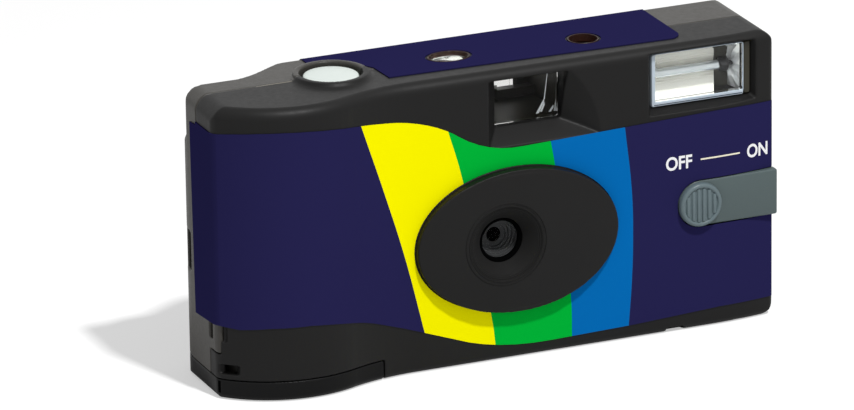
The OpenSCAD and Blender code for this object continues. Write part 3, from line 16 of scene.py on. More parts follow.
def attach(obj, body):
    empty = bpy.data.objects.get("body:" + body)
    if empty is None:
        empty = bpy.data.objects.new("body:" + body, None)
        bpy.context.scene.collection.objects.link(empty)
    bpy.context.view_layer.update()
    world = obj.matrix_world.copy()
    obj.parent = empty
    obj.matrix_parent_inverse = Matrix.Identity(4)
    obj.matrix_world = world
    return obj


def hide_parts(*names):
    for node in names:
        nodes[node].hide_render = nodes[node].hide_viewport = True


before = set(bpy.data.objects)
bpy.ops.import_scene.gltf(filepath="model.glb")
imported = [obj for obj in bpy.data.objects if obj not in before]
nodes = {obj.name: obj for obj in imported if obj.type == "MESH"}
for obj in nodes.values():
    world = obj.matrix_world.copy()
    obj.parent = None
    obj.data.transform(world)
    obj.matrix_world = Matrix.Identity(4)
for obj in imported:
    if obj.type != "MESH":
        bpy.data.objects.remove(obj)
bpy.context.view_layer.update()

# %% [markdown]
# ## Units and places
# Blender works in metres, but a maker of mouldings thinks in millimetres. Points could be typed in
# metres, with many zeros. One helper turns millimetres measured from the seam between the covers
# into a point of the scene instead, so the numbers below are what a ruler would show. Another finds
# the middle of a node, so that a new piece sits where its solid does.

# %% Points in millimetres
MM = 0.001
SEAM_Y = 1.55


def at(x, y, z):
    """A point of the scene from millimetres measured from the seam."""
    return Vector((x, y + SEAM_Y, z)) * MM


def middle_of(name):
    """The middle of a node's box in millimetres from the seam, to a tenth."""
    node = nodes[name]
    points = [node.matrix_world @ vertex.co / MM for vertex in node.data.vertices]
    x, y, z = [(min(axis) + max(axis)) / 2 for axis in zip(*points)]
    return round(x, 1), round(y - SEAM_Y, 1), round(z, 1)


print("middle of the lens:", middle_of("lens"), "mm from the seam")

# %% [markdown]
# ## The camera that looks at the camera
# The photograph is taken from the front left and a little above, through a long lens, so upright
# edges stay almost parallel. A view could be dragged into place by eye. Here it is built from its
# angles and a small roll, with no lens shift, because angles can be put right one at a time.

# %% Directions of the view
PHOTO_W, PHOTO_H = 854, 410
FOCAL_PIXELS = 7600
VIEW_AZIMUTH = math.radians(23.2)
VIEW_ELEVATION = math.radians(19.3)
VIEW_ROLL = math.radians(0.7)
VIEW_DISTANCE = 1480 * MM
BODY_MIDDLE = at(0, 0, 29.5)
MIDDLE_PIXEL = (478.4, 198.1)

look = Vector((math.sin(VIEW_AZIMUTH) * math.cos(VIEW_ELEVATION),
               math.cos(VIEW_AZIMUTH) * math.cos(VIEW_ELEVATION), -math.sin(VIEW_ELEVATION)))
level_right = look.cross(Vector((0, 0, 1))).normalized()
level_up = level_right.cross(look)
view_up = level_up * math.cos(VIEW_ROLL) + level_right * math.sin(VIEW_ROLL)
view_right = level_right * math.cos(VIEW_ROLL) - level_up * math.sin(VIEW_ROLL)
metres_per_pixel = VIEW_DISTANCE / FOCAL_PIXELS
eye = BODY_MIDDLE - look * VIEW_DISTANCE
aim = (BODY_MIDDLE + view_right * (PHOTO_W / 2 - MIDDLE_PIXEL[0]) * metres_per_pixel
       + view_up * (MIDDLE_PIXEL[1] - PHOTO_H / 2) * metres_per_pixel)
forward = (aim - eye).normalized()
right = forward.cross(view_up).normalized()
up = right.cross(forward)
print("eye at", [round(value, 3) for value in eye], "m")

# %% Camera
SENSOR_WIDTH = 36
CLIP_NEAR, CLIP_FAR = 0.1, 20

view = bpy.data.cameras.new("photo_view")
view.sensor_width = SENSOR_WIDTH
view.lens = FOCAL_PIXELS / PHOTO_W * SENSOR_WIDTH
view.clip_start = CLIP_NEAR
view.clip_end = CLIP_FAR
view_object = bpy.data.objects.new("photo_view", view)
turned = Matrix((right, up, -forward)).transposed().to_4x4()
view_object.matrix_world = Matrix.Translation(eye) @ turned
bpy.context.scene.collection.objects.link(view_object)
bpy.context.scene.camera = view_object
bpy.context.scene.view_settings.view_transform = "Standard"
print("lens", round(view.lens, 1), "mm")

# %% [markdown]
# ## Lamp and world
# One lamp, high in front and a little to the right, throws the short shadow behind the left end. A
# picture of a studio could light the scene too, but one lamp and a plain world are easier to
# balance. The world is white to the eye and to reflections, and a lower, even light to all else.

# %% Key lamp
KEY_WAY = (0.12, -0.57, 1.0)
KEY_DISTANCE = 1.2
KEY_SIZE = 0.07
KEY_WATTS = 10.4

lamp = bpy.data.lights.new("key_lamp", "AREA")
lamp.shape = "SQUARE"
lamp.size = KEY_SIZE
lamp.energy = KEY_WATTS
lamp_object = bpy.data.objects.new("key_lamp", lamp)
lamp_way = Vector(KEY_WAY).normalized()
lamp_object.location = BODY_MIDDLE + lamp_way * KEY_DISTANCE
lamp_object.rotation_euler = (-lamp_way).to_track_quat("-Z", "Y").to_euler()
bpy.context.scene.collection.objects.link(lamp_object)
print("lamp", KEY_WATTS, "W")

# %% World
WORLD_LIGHT = 0.32
WORLD_SHOWN = 1.0
WHITE = (1, 1, 1, 1)


def math_node(tree, operation, values, clamp=False):
    """The result of a Math node; each value is a number or the output of another node."""
    node = tree.nodes.new("ShaderNodeMath")
    node.operation = operation
    node.use_clamp = clamp
    for socket, value in zip(node.inputs, values):
        if isinstance(value, (int, float)):
            socket.default_value = value
        else:
            tree.links.new(value, socket)
    return node.outputs[0]


def mix_shaders(tree, share, first, second):
    """The first shader where share is 0, the second where it is 1."""
    mix = tree.nodes.new("ShaderNodeMixShader")
    for socket, output in zip(mix.inputs, (share, first, second)):
        tree.links.new(output, socket)
    return mix.outputs[0]


def white_background(tree, strength):
    """Plain white light from all round."""
    background = tree.nodes.new("ShaderNodeBackground")
    background.inputs["Color"].default_value = WHITE
    background.inputs["Strength"].default_value = strength
    return background.outputs[0]


world = bpy.data.worlds.new("studio")
bpy.context.scene.world = world
world.use_nodes = True
tree = world.node_tree
tree.nodes.clear()
rays = tree.nodes.new("ShaderNodeLightPath").outputs
seen = math_node(tree, "ADD", (rays["Is Camera Ray"], rays["Is Glossy Ray"]))
seen_through = math_node(tree, "ADD", (seen, rays["Is Transmission Ray"]), clamp=True)
sky = mix_shaders(tree, seen_through, white_background(tree, WORLD_LIGHT),
                  white_background(tree, WORLD_SHOWN))
tree.links.new(sky, tree.nodes.new("ShaderNodeOutputWorld").inputs["Surface"])
print("world", WORLD_LIGHT, "for light,", WORLD_SHOWN, "for the eye")

# %% [markdown]
# ## Floor
# The camera stands on a sheet of white paper. Any white plane would do, but the photograph is
# exposed so that the paper is white and its shadow still soft. The eye is therefore shown a greyer
# paper with a little light of its own, while its full white lights the camera from below.

# %% Floor
FLOOR_SIZE = 6.0
FLOOR_WHITE = 0.93
FLOOR_ROUGHNESS = 0.9
SHOWN_GLOW = 0.46
SHOWN_WHITE = 0.7


def new_material(name):
    """A node material, its tree and its shader."""
    material = bpy.data.materials.new(name)
    material.use_nodes = True
    return material, material.node_tree, material.node_tree.nodes["Principled BSDF"]


floor_mesh = bpy.data.meshes.new("floor")
half = FLOOR_SIZE / 2
floor_corners = [(-half, -half, 0), (half, -half, 0), (half, half, 0), (-half, half, 0)]
floor_mesh.from_pydata(floor_corners, [], [(0, 1, 2, 3)])
floor = bpy.data.objects.new("floor", floor_mesh)
bpy.context.scene.collection.objects.link(floor)
floor_paint, tree, shader = new_material("floor_paint")
shader.inputs["Roughness"].default_value = FLOOR_ROUGHNESS
shader.inputs["Specular IOR Level"].default_value = 0.0
shader.inputs["Emission Color"].default_value = WHITE
to_eye = tree.nodes.new("ShaderNodeLightPath").outputs["Is Camera Ray"]
paper = tree.nodes.new("ShaderNodeMix")
paper.data_type = "RGBA"
paper.inputs["A"].default_value = (FLOOR_WHITE, FLOOR_WHITE, FLOOR_WHITE, 1)
paper.inputs["B"].default_value = (SHOWN_WHITE, SHOWN_WHITE, SHOWN_WHITE, 1)
tree.links.new(to_eye, paper.inputs["Factor"])
tree.links.new(paper.outputs["Result"], shader.inputs["Base Color"])
glow = math_node(tree, "MULTIPLY", (to_eye, SHOWN_GLOW))
tree.links.new(glow, shader.inputs["Emission Strength"])
floor_mesh.materials.append(floor_paint)
print("floor", FLOOR_SIZE, "m")

# %% [markdown]
# ## A shared surface: moulded plastic
# Mouldings are never one flat colour. The steel mould leaves a fine grain, and the flow of the melt
# leaves faint clouds. Painted pictures could show both, but noise in the object's own space needs
# no unwrapping and moves with the piece. The group puts out a colour, a roughness and a height,
# and each material keeps its own shader.

# %% Node group for moulded surfaces
CLOUD_SIZE, CLOUD_DETAIL = 14, 3
FLECK_SIZE, FLECK_DETAIL = 0.9, 2
GRAIN_DETAIL = 2
NOISE_MIDDLE = 0.5
SURFACE_SOCKETS = {"INPUT": ("Color", "Clouds", "Roughness", "Roughness Spread", "Grain Size"),
                   "OUTPUT": ("Color", "Roughness", "Height")}


def noise_node(tree, vector, scale, detail):
    """Noise with about scale blobs to one unit of the vector."""
    node = tree.nodes.new("ShaderNodeTexNoise")
    node.inputs["Scale"].default_value = scale
    node.inputs["Detail"].default_value = detail
    tree.links.new(vector, node.inputs["Vector"])
    return node.outputs["Fac"]


def scale_node(tree, vector, factor):
    """A vector or a colour times a number."""
    node = tree.nodes.new("ShaderNodeVectorMath")
    node.operation = "SCALE"
    tree.links.new(vector, node.inputs[0])
    tree.links.new(factor, node.inputs["Scale"])
    return node.outputs[0]


def make_surface_group():
    """Group that varies a colour and a roughness and gives a grain to bump with."""
    group = bpy.data.node_groups.new("moulded_surface", "ShaderNodeTree")
    for way, names in SURFACE_SOCKETS.items():
        for name in names:
            kind = "NodeSocketColor" if name == "Color" else "NodeSocketFloat"
            group.interface.new_socket(name, in_out=way, socket_type=kind)
    given = group.nodes.new("NodeGroupInput").outputs
    result = group.nodes.new("NodeGroupOutput").inputs
    place = group.nodes.new("ShaderNodeTexCoord").outputs["Object"]
    clouds = noise_node(group, place, 1 / (CLOUD_SIZE * MM), CLOUD_DETAIL)
    flecks = noise_node(group, place, 1 / (FLECK_SIZE * MM), FLECK_DETAIL)
    grains_per_metre = math_node(group, "DIVIDE", (1 / MM, given["Grain Size"]))
    grain = noise_node(group, scale_node(group, place, grains_per_metre), 1.0, GRAIN_DETAIL)
    centred = math_node(group, "SUBTRACT", (clouds, NOISE_MIDDLE))
    strength = math_node(group, "MULTIPLY_ADD", (centred, given["Clouds"], 1.0))
    uneven = math_node(group, "SUBTRACT", (flecks, NOISE_MIDDLE))
    rough = math_node(group, "MULTIPLY_ADD",
                      (uneven, given["Roughness Spread"], given["Roughness"]), clamp=True)
    group.links.new(scale_node(group, given["Color"], strength), result["Color"])
    group.links.new(rough, result["Roughness"])
    group.links.new(grain, result["Height"])
    return group


surface_group = make_surface_group()
print("group:", surface_group.name, len(surface_group.nodes), "nodes")

# %% [markdown]
# ## Plastics and clear parts
# The covers are charcoal plastic, greyer at the back, and the lens, the finder and the flash pane
# are clear. Each finish could have its own nodes, but one function round the shared group keeps them
# alike. What is the same all over, such as the index of refraction, is set on the shader. Clear
# parts let the lamp's light straight through, so that what lies behind isn't in the dark.

# %% Material makers
RIPPLE_SIZE, RIPPLE_DETAIL, RIPPLE_DEPTH = 4, 0, 0.004


def add_bump(tree, shader, height, depth):
    """Bumps the surface of a shader by a height of up to depth, in millimetres."""
    bump = tree.nodes.new("ShaderNodeBump")
    bump.inputs["Distance"].default_value = depth * MM
    bump.inputs["Strength"].default_value = 1.0
    tree.links.new(height, bump.inputs["Height"])
    tree.links.new(bump.outputs["Normal"], shader.inputs["Normal"])


def moulded(name, color, roughness, clouds=0.25, spread=0.15, grain=0.25, depth=0.02, shine=0.5,
            metallic=0.0):
    """Moulded or pressed surface; color is linear, grain and depth are in millimetres."""
    material, tree, shader = new_material(name)
    surface = tree.nodes.new("ShaderNodeGroup")
    surface.name = "surface"
    surface.node_tree = surface_group
    settings = {"Color": (*color, 1), "Clouds": clouds, "Roughness": roughness,
                "Roughness Spread": spread, "Grain Size": grain}
    for socket, value in settings.items():
        surface.inputs[socket].default_value = value
    tree.links.new(surface.outputs["Color"], shader.inputs["Base Color"])
    tree.links.new(surface.outputs["Roughness"], shader.inputs["Roughness"])
    add_bump(tree, shader, surface.outputs["Height"], depth)
    shader.inputs["Specular IOR Level"].default_value = shine
    shader.inputs["Metallic"].default_value = metallic
    return material


def clear(name, color, roughness, ior, also_open_to=()):
    """Clear plastic with a faint ripple; shadow rays and the kinds named pass unbent."""
    material, tree, shader = new_material(name)
    shader.inputs["Base Color"].default_value = (*color, 1)
    shader.inputs["Roughness"].default_value = roughness
    shader.inputs["IOR"].default_value = ior
    shader.inputs["Transmission Weight"].default_value = 1.0
    place = tree.nodes.new("ShaderNodeTexCoord").outputs["Object"]
    ripple = noise_node(tree, place, 1 / (RIPPLE_SIZE * MM), RIPPLE_DETAIL)
    add_bump(tree, shader, ripple, RIPPLE_DEPTH)
    rays = tree.nodes.new("ShaderNodeLightPath").outputs
    passing = rays["Is Shadow Ray"]
    for kind in also_open_to:
        passing = math_node(tree, "MAXIMUM", (passing, rays[kind]))
    window = tree.nodes.new("ShaderNodeBsdfTransparent")
    window.inputs["Color"].default_value = (*color, 1)
    either = mix_shaders(tree, passing, shader.outputs[0], window.outputs[0])
    tree.links.new(either, tree.nodes["Material Output"].inputs["Surface"])
    return material


print("material makers ready")

# %% Plastics of the outside
charcoal = moulded("charcoal_plastic", (0.0085, 0.0083, 0.0082), 0.46, shine=0.17, depth=0.012)
rear_grey = moulded("rear_plastic", (0.041, 0.038, 0.033), 0.42, clouds=0.35, grain=0.35, depth=0.03,
                    shine=0.34)
door_black = moulded("door_plastic", (0.005, 0.005, 0.0052), 0.34, shine=0.12, depth=0.008)
inner_black = moulded("inner_plastic", (0.012, 0.011, 0.009), 0.5)
switch_grey = moulded("switch_plastic", (0.086, 0.116, 0.118), 0.4, clouds=0.12, shine=0.25)
pad_grey = moulded("pad_plastic", (0.125, 0.168, 0.182), 0.36, clouds=0.12, shine=0.3)
button_white = moulded("button_plastic", (0.78, 0.85, 0.81), 0.4, clouds=0.04, shine=0.25)
gear_white = moulded("gear_plastic", (0.8, 0.8, 0.76), 0.45, clouds=0.08)
clear_plastic = clear("clear_plastic", (0.97, 0.985, 0.98), 0.01, 1.25)
finder_plastic = clear("finder_plastic", (0.99, 0.99, 0.98), 0.0, 1.12)
lens_plastic = clear("lens_plastic", (0.96, 0.97, 0.98), 0.0, 1.06, ("Is Diffuse Ray",))
window_plastic = clear("window_plastic", (0.95, 0.96, 0.95), 0.0, 1.4)
print("plastics and clear parts:", len(bpy.data.materials))

# %% [markdown]
# ## Metals, film and the parts inside
# Inside sit a cartridge, a cell, a flash circuit and a few levers. They only show through gaps or
# when the film door opens, so fine work would be lost on them. Each gets one material from the same
# maker, in the colour of the real stuff: steel, brass, copper, brown board and brown film.

# %% Materials of the parts inside
steel = moulded("contact_steel", (0.62, 0.62, 0.6), 0.32, clouds=0.2, metallic=1.0)
brass = moulded("contact_brass", (0.72, 0.53, 0.22), 0.34, clouds=0.25, metallic=1.0)
copper = moulded("coil_copper", (0.6, 0.28, 0.12), 0.35, clouds=0.3, metallic=1.0)
board_brown = moulded("board_resin", (0.2, 0.1, 0.035), 0.55, clouds=0.4)
sleeve = moulded("capacitor_sleeve", (0.012, 0.013, 0.02), 0.35)
tape = moulded("tape_yellow", (0.6, 0.42, 0.05), 0.45, clouds=0.2)
lamp_orange = moulded("lamp_plastic", (0.75, 0.16, 0.04), 0.25, clouds=0.1)
cell_gold = moulded("cell_foil", (0.7, 0.5, 0.12), 0.32, clouds=0.2, metallic=0.8)
can_green = moulded("cassette_paint", (0.04, 0.16, 0.06), 0.35, clouds=0.15)
cap_dark = moulded("cassette_cap", (0.02, 0.02, 0.022), 0.35, metallic=0.6)
film_brown = moulded("film_base", (0.09, 0.035, 0.02), 0.25, clouds=0.15)
lever_grey = moulded("lever_plastic", (0.25, 0.24, 0.2), 0.5)
print("materials:", len(bpy.data.materials))

# %% [markdown]
# ## Finishes of the small pieces
# The bowl of the lens, the flash, the rims and the print marks each have a finish of their own.
# Black plastic in a hollow looks black because little light comes back out. The white world would
# put a sheen on it, so the deep pieces have almost no shine, and most are too small for a grain.
# Some finishes paint light: the darkest black paints shade, and the pale edges and glints paint
# highlights and reflections.

# %% Materials of the small pieces
bowl_black = moulded("bowl_plastic", (0.0135, 0.0133, 0.0131), 0.7, shine=0.08, depth=0.0)
throat_grey = moulded("throat_plastic", (0.075, 0.075, 0.075), 0.6, shine=0.03, depth=0.0)
# Darkest black: real black on the shutter blade, painted shade on the lens ring, the seam notch and the
# door groove.
blade_black_and_painted_shade = moulded("blade_black_and_painted_shade", (0.0015, 0.0015, 0.0016), 0.6, clouds=0.0, depth=0.0, shine=0.0)
reflector_cream = moulded("reflector_cream", (0.9, 0.88, 0.81), 0.3, clouds=0.05, depth=0.0)
tube_glass = moulded("tube_glass", (0.7, 0.74, 0.76), 0.1, clouds=0.1, depth=0.0, metallic=0.6)
mirror = moulded("reflector_mirror", (0.95, 0.97, 0.99), 0.12, clouds=0.1, depth=0.0, metallic=0.25)
# Painted reflections: the pale glints in the finder.
glint_white = moulded("painted_glint", (0.84, 0.89, 0.93), 0.18, clouds=0.3, depth=0.0)
# Painted highlight: the pale edge of the flash pane.
pane_edge_highlight = moulded("pane_edge_highlight", (0.5, 0.58, 0.66), 0.15, clouds=0.4, depth=0.0)
line_blue = moulded("line_blue", (0.012, 0.03, 0.06), 0.3, clouds=0.2, depth=0.0)
# Dark olive of the finder tunnel and the flash column, also used as painted shade beside the flash pane.
olive = moulded("tunnel_olive", (0.03, 0.028, 0.018), 0.45, clouds=0.5, shine=0.3)
rim_brown = moulded("rim_brown", (0.028, 0.011, 0.007), 0.4, shine=0.3)
legend_white = moulded("legend_white", (0.92, 0.92, 0.93), 0.5, clouds=0.02, depth=0.0, shine=0.1)
legend_cream = moulded("legend_cream", (0.9, 0.84, 0.68), 0.5, clouds=0.02, depth=0.0, shine=0.1)
seam_grey = moulded("seam_edge", (0.26, 0.24, 0.2), 0.4, clouds=0.2, depth=0.0)
number_black = moulded("number_black", (0.01, 0.01, 0.012), 0.5, clouds=0.0, depth=0.0)
print("materials:", len(bpy.data.materials))

# %% [markdown]
# ## Printed wrap
# The wrap is one sheet of printed paper: navy all over, with a yellow, a green and a blue
# stripe that lean like sails. A picture could be laid on it, but it would turn soft near by. The
# edge of each stripe is a curve that gives X for every height instead, and stays crisp.

# %% Edges of the stripes
STRIPE_X = (-60.0, 60.0)
STRIPE_Z = (0.0, 59.0)
NAVY = (0.0192, 0.0173, 0.0765)
STRIPE_EDGES = [
    ("yellow", (0.985, 0.925, 0.0), [(8, -16.8), (24.3, -20.8), (38.6, -25.2), (53.1, -30.2)]),
    ("green", (0.0008, 0.46, 0.041), [(3.6, -2.0), (7.8, -2.5), (40.4, -9.0), (48, -11.2)]),
    ("blue", (0.002, 0.145, 0.46), [(2.6, 14.3), (9.8, 14.2), (38.4, 11.0), (43.7, 10.1)]),
    ("navy", NAVY, [(3.3, 26.5), (12.3, 27.2), (21.4, 27.5), (30.5, 27.3), (44, 25.9)]),
]


def share_of(value, ends):
    """How far a value lies from the first end to the second, as a share."""
    return (value - ends[0]) / (ends[1] - ends[0])


def beyond(first, second, height):
    """X at a height on the line through two points, each a height and an X."""
    slope = (second[1] - first[1]) / (second[0] - first[0])
    return first[1] + slope * (height - first[0])


def stripe_edge(tree, height, points):
    """X of a stripe's edge, from 0 to 1 across the wrap, at each height from 0 to 1."""
    curve = tree.nodes.new("ShaderNodeFloatCurve")
    spline = curve.mapping.curves[0]
    low, high = STRIPE_Z
    whole = [(low, beyond(points[0], points[1], low)), *points,
             (high, beyond(points[-2], points[-1], high))]
    while len(spline.points) < len(whole):
        spline.points.new(0.5, 0.5)
    for point, (z, x) in zip(spline.points, whole):
        point.location = (share_of(z, STRIPE_Z), share_of(x, STRIPE_X))
        point.handle_type = "AUTO"
    curve.mapping.update()
    tree.links.new(height, curve.inputs["Value"])
    return curve.outputs["Value"]


print("stripe edges:", len(STRIPE_EDGES))

# %% Printed sheets


def printed(name):
    """Matt printed paper in plain navy."""
    return moulded(name, NAVY, 0.55, clouds=0.05, spread=0.1, grain=0.2, depth=0.003, shine=0.0)


def share_node(tree, value, ends):
    """A length in metres as a share of the way between two ends in millimetres."""
    share = tree.nodes.new("ShaderNodeMapRange")
    share.inputs["From Min"].default_value = ends[0] * MM
    share.inputs["From Max"].default_value = ends[1] * MM
    tree.links.new(value, share.inputs["Value"])
    return share.outputs["Result"]


def add_stripes(material):
    """Prints the stripes on a sheet, from left to right, each over the one before."""
    tree = material.node_tree
    axes = tree.nodes.new("ShaderNodeSeparateXYZ")
    place = tree.nodes.new("ShaderNodeTexCoord").outputs["Object"]
    tree.links.new(place, axes.inputs[0])
    across = share_node(tree, axes.outputs["X"], STRIPE_X)
    height = share_node(tree, axes.outputs["Z"], STRIPE_Z)
    ink = None
    for color_name, color, points in STRIPE_EDGES:
        past = math_node(tree, "GREATER_THAN", (across, stripe_edge(tree, height, points)))
        mix = tree.nodes.new("ShaderNodeMix")
        mix.data_type = "RGBA"
        mix.label = color_name
        mix.inputs["A"].default_value = (*NAVY, 1)
        mix.inputs["B"].default_value = (*color, 1)
        tree.links.new(past, mix.inputs["Factor"])
        if ink:
            tree.links.new(ink, mix.inputs["A"])
        ink = mix.outputs["Result"]
    tree.links.new(ink, tree.nodes["surface"].inputs["Color"])


wrap_print = printed("wrap_print")
add_stripes(wrap_print)
top_print = printed("top_print")
print("printed sheets:", wrap_print.name, top_print.name)

# %% [markdown]
# ## Dressing the nodes that keep their shape
# Most nodes are right as they are and only need their finish. The materials could be set one by
# one. A table that pairs each node with its material shows at once if one is missing.

# %% Finishes of the nodes
FINISHES = {
    "front_cover": charcoal, "back_cover": rear_grey, "film_door": door_black,
    "front_label": wrap_print, "top_label": top_print, "lens": lens_plastic,
    "viewfinder_front_lens": finder_plastic, "viewfinder_rear_lens": finder_plastic,
    "flash_window": clear_plastic, "flash_reflector": reflector_cream, "flash_tube": tube_glass,
    "circuit_board": board_brown, "flash_capacitor": sleeve, "flash_transformer": tape,
    "trigger_coil": copper, "ready_lamp": lamp_orange, "battery": cell_gold, "sync_contact": brass,
    "switch_contact": brass, "cassette_shell": can_green, "cassette_end_caps": cap_dark,
    "film_strip": film_brown, "film_roll": film_brown, "shutter_button": button_white,
    "release_lever": lever_grey, "striker_lever": lever_grey, "shutter_blade": blade_black_and_painted_shade,
    "flash_switch": switch_grey, "sprocket": gear_white, "counter_dial": gear_white,
}
for name in ("flash_tube_caps", "battery_contacts", "button_spring", "striker_spring"):
    FINISHES[name] = steel
for name in ("chassis", "lens_holder", "thumb_wheel", "cassette_spool", "supply_spool"):
    FINISHES[name] = inner_black
for name, material in FINISHES.items():
    nodes[name].material_slots[0].material = material
print("finished nodes:", len(FINISHES), "of", len(nodes))

# %% [markdown]
# ## Softening the mouldings
# No moulded edge is a knife edge. A bevel is the usual tool, but it breaks where many short edges
# meet. The covers and the film door are remeshed in small voxels and relaxed for a few steps
# instead, which rounds every edge by some tenths of a millimetre and leaves the large faces alone.

# %% Rounded edges for the covers
RELAX_FACTOR = 0.5
VOXEL_AND_ROUNDS = {"front_cover": (0.2, 5), "back_cover": (0.25, 4), "film_door": (0.2, 4)}


def soften(name, voxel, rounds):
    """Rounds the edges of a node without touching its own mesh; voxel is in millimetres."""
    node = nodes[name]
    remesh = node.modifiers.new("fine_cells", "REMESH")
    remesh.mode = "VOXEL"
    remesh.voxel_size = voxel * MM
    remesh.use_smooth_shade = True
    relax = node.modifiers.new("relax", "SMOOTH")
    relax.iterations = rounds
    relax.factor = RELAX_FACTOR


for name, (voxel, rounds) in VOXEL_AND_ROUNDS.items():
    soften(name, voxel, rounds)
print("softened:", ", ".join(VOXEL_AND_ROUNDS))

# %% [markdown]
# ## Loops
# The small pieces are discs, rings, panes and bars. They could be cut from Blender's own cubes and
# cylinders with many modifiers. Here all are rows of closed loops of points: circles of changing
# radius give turned pieces and rounded rectangles give panes, so one short function serves each.

# %% Loops
# Turned profiles end this far from their axis, and sharp corners keep this radius
AXIS_R = 0.02
SMALLEST_R = 0.01


def circle(count):
    """Cosine and sine of angles spread evenly round a circle."""
    angles = [2 * math.pi * k / count for k in range(count)]
    return [(math.cos(angle), math.sin(angle)) for angle in angles]


def turn_y(x, z, profile, count=96):
    """Loops about an axis along Y; the profile is radius and Y."""
    return [[at(x + r * c, y, z + r * s) for c, s in circle(count)] for r, y in profile]


def turn_x(y, z, profile, count=32):
    """Loops about an axis along X; the profile is radius and X."""
    return [[at(x, y + r * c, z + r * s) for c, s in circle(count)] for r, x in profile]


def turn_z(x, y, profile, stretch=1.0, count=96):
    """Loops about an upright axis; the profile is radius and Z, and stretch scales it along Y."""
    return [[at(x + r * c, y + r * stretch * s, z) for c, s in circle(count)] for r, z in profile]


def pane(box, radii, inset, y, steps=6):
    """One rounded rectangle facing the front, drawn in by inset; radii from lower left, turning."""
    x0, x1, z0, z1 = box
    points = []
    corners = [(x0, z0, 180), (x1, z0, 270), (x1, z1, 0), (x0, z1, 90)]
    for (x, z, start), radius in zip(corners, radii):
        inward = max(radius, inset)
        middle_x = x + (inward if x == x0 else -inward)
        middle_z = z + (inward if z == z0 else -inward)
        r = max(radius - inset, SMALLEST_R)
        for k in range(steps + 1):
            angle = math.radians(start + 90 * k / steps)
            points.append(at(middle_x + r * math.cos(angle), y, middle_z + r * math.sin(angle)))
    return points


def panes(box, radii, levels, steps=6):
    """Rounded rectangles at several levels, each an inset and a Y."""
    return [pane(box, radii, inset, y, steps) for inset, y in levels]


def bar(low, high):
    """Loops of a plain bar between two corners."""
    (x0, y0, z0), (x1, y1, z1) = low, high
    return [[at(x0, y, z0), at(x1, y, z0), at(x1, y, z1), at(x0, y, z1)] for y in (y0, y1)]


print("loop makers ready")

# %% [markdown]
# ## Skins
# A skin of quads runs from each loop to the next. A solid is closed by a face at both ends, and a
# ring runs from its last loop back to its first. An open sheet would need fewer faces, but a closed
# skin looks right from every side and through glass. Each piece rides its body, so that it moves
# with the solids.

# %% Skins
CREASE = 35


def finish_piece(name, points, faces, material, body="camera_body", instead_of=None,
                 crease=CREASE):
    """Makes the object, turns its faces outwards and smooths all but its sharp edges."""
    mesh = bpy.data.meshes.new(name)
    mesh.from_pydata(points, [], faces)
    work = bmesh.new()
    work.from_mesh(mesh)
    bmesh.ops.recalc_face_normals(work, faces=work.faces)
    work.to_mesh(mesh)
    work.free()
    mesh.shade_smooth()
    mesh.set_sharp_from_angle(angle=math.radians(crease))
    mesh.materials.append(material)
    piece = bpy.data.objects.new(name, mesh)
    bpy.context.scene.collection.objects.link(piece)
    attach(piece, body)
    if instead_of:
        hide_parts(instead_of)


def add_piece(name, shells, material, body="camera_body", instead_of=None, crease=CREASE):
    """Builds a piece from shells, each a kind, solid or ring, and its loops."""
    points, faces = [], []
    for kind, loops in shells:
        start, count = len(points), len(loops[0])
        for loop in loops:
            points += loop
        spans = len(loops) if kind == "ring" else len(loops) - 1
        for i in range(spans):
            a, b = start + i * count, start + (i + 1) % len(loops) * count
            faces += [(a + k, a + (k + 1) % count, b + (k + 1) % count, b + k) for k in range(count)]
        if kind == "solid":
            last = start + (len(loops) - 1) * count
            faces += [tuple(range(start, start + count)), tuple(range(last, last + count))]
    finish_piece(name, points, faces, material, body, instead_of, crease)


# %% [markdown]
# ## Bowl of the lens
# The bowl round the lens has a fine bead and groove at its edge and turning marks on its wall. A
# bump could draw the marks, but real ridges also catch the light at a slant. The profile is turned
# about the lens and laid on the slight dome of the boss, so its edge lies flush all round.

# %% Bowl
LENS_X, LENS_Z = middle_of("lens")[0::2]
BOSS_X, BOSS_Y, DOME_R = 2.7, -15.0, 150.0
BOWL_OUT, BOWL_IN = 8.6, 4.62
BOWL_COUNT = 128
BOWL_EDGE = [(BOWL_OUT, 0.06), (8.5, -0.06), (8.34, -0.12), (8.24, 0.0), (8.14, 0.45), (7.98, 0.48),
             (7.86, 0.05), (7.74, -0.1), (7.58, -0.08), (7.45, 0.06)]
BOWL_BACK = [(BOWL_IN - 0.08, 3.3), (BOWL_IN - 0.08, 3.75), (BOWL_IN + 0.15, 3.75), (7.7, 1.1),
             (BOWL_OUT, 0.6)]
WALL_R, WALL_TOP, WALL_DEPTH, WALL_BEND = 7.4, 0.1, 2.75, 1.25
MARKS, MARK_WIDTH, MARK_RISE, MARK_DROP = 9, 0.1, 0.08, 0.09
DOME_REACH = 2.8


def bowl_profile():
    """Radius and depth of the bowl: the flush edge, the wall with its marks, and the back."""
    wall = []
    for k in range(MARKS + 1):
        t = k / MARKS
        r = WALL_R - (WALL_R - BOWL_IN) * t
        depth = WALL_TOP + WALL_DEPTH * t ** WALL_BEND
        wall += [(r, depth - MARK_RISE), (r - MARK_WIDTH, depth + MARK_DROP)]
    return BOWL_EDGE + wall + BOWL_BACK


def bowl_loop(r, depth):
    """A circle about the lens that follows the dome more and more towards the edge."""
    share = min(max((r - BOWL_IN) / DOME_REACH, 0), 1)
    loop = []
    for c, s in circle(BOWL_COUNT):
        x, z = LENS_X + r * c, LENS_Z + r * s
        sag = ((x - BOSS_X) ** 2 + (z - LENS_Z) ** 2) / (2 * DOME_R)
        loop.append(at(x, BOSS_Y + depth + sag * share, z))
    return loop


bowl_loops = [bowl_loop(r, depth) for r, depth in bowl_profile()]
add_piece("lens_bowl", [("ring", bowl_loops)], bowl_black)
print("bowl of", len(bowl_loops), "loops")

# %% [markdown]
# ## Lens
# Behind a thin bent front element, dark stepped rings lead the eye down to the stop. A flat black
# disc would look much the same from far off, but steps give the eye a depth to look into. They come
# from a loop over their radii.

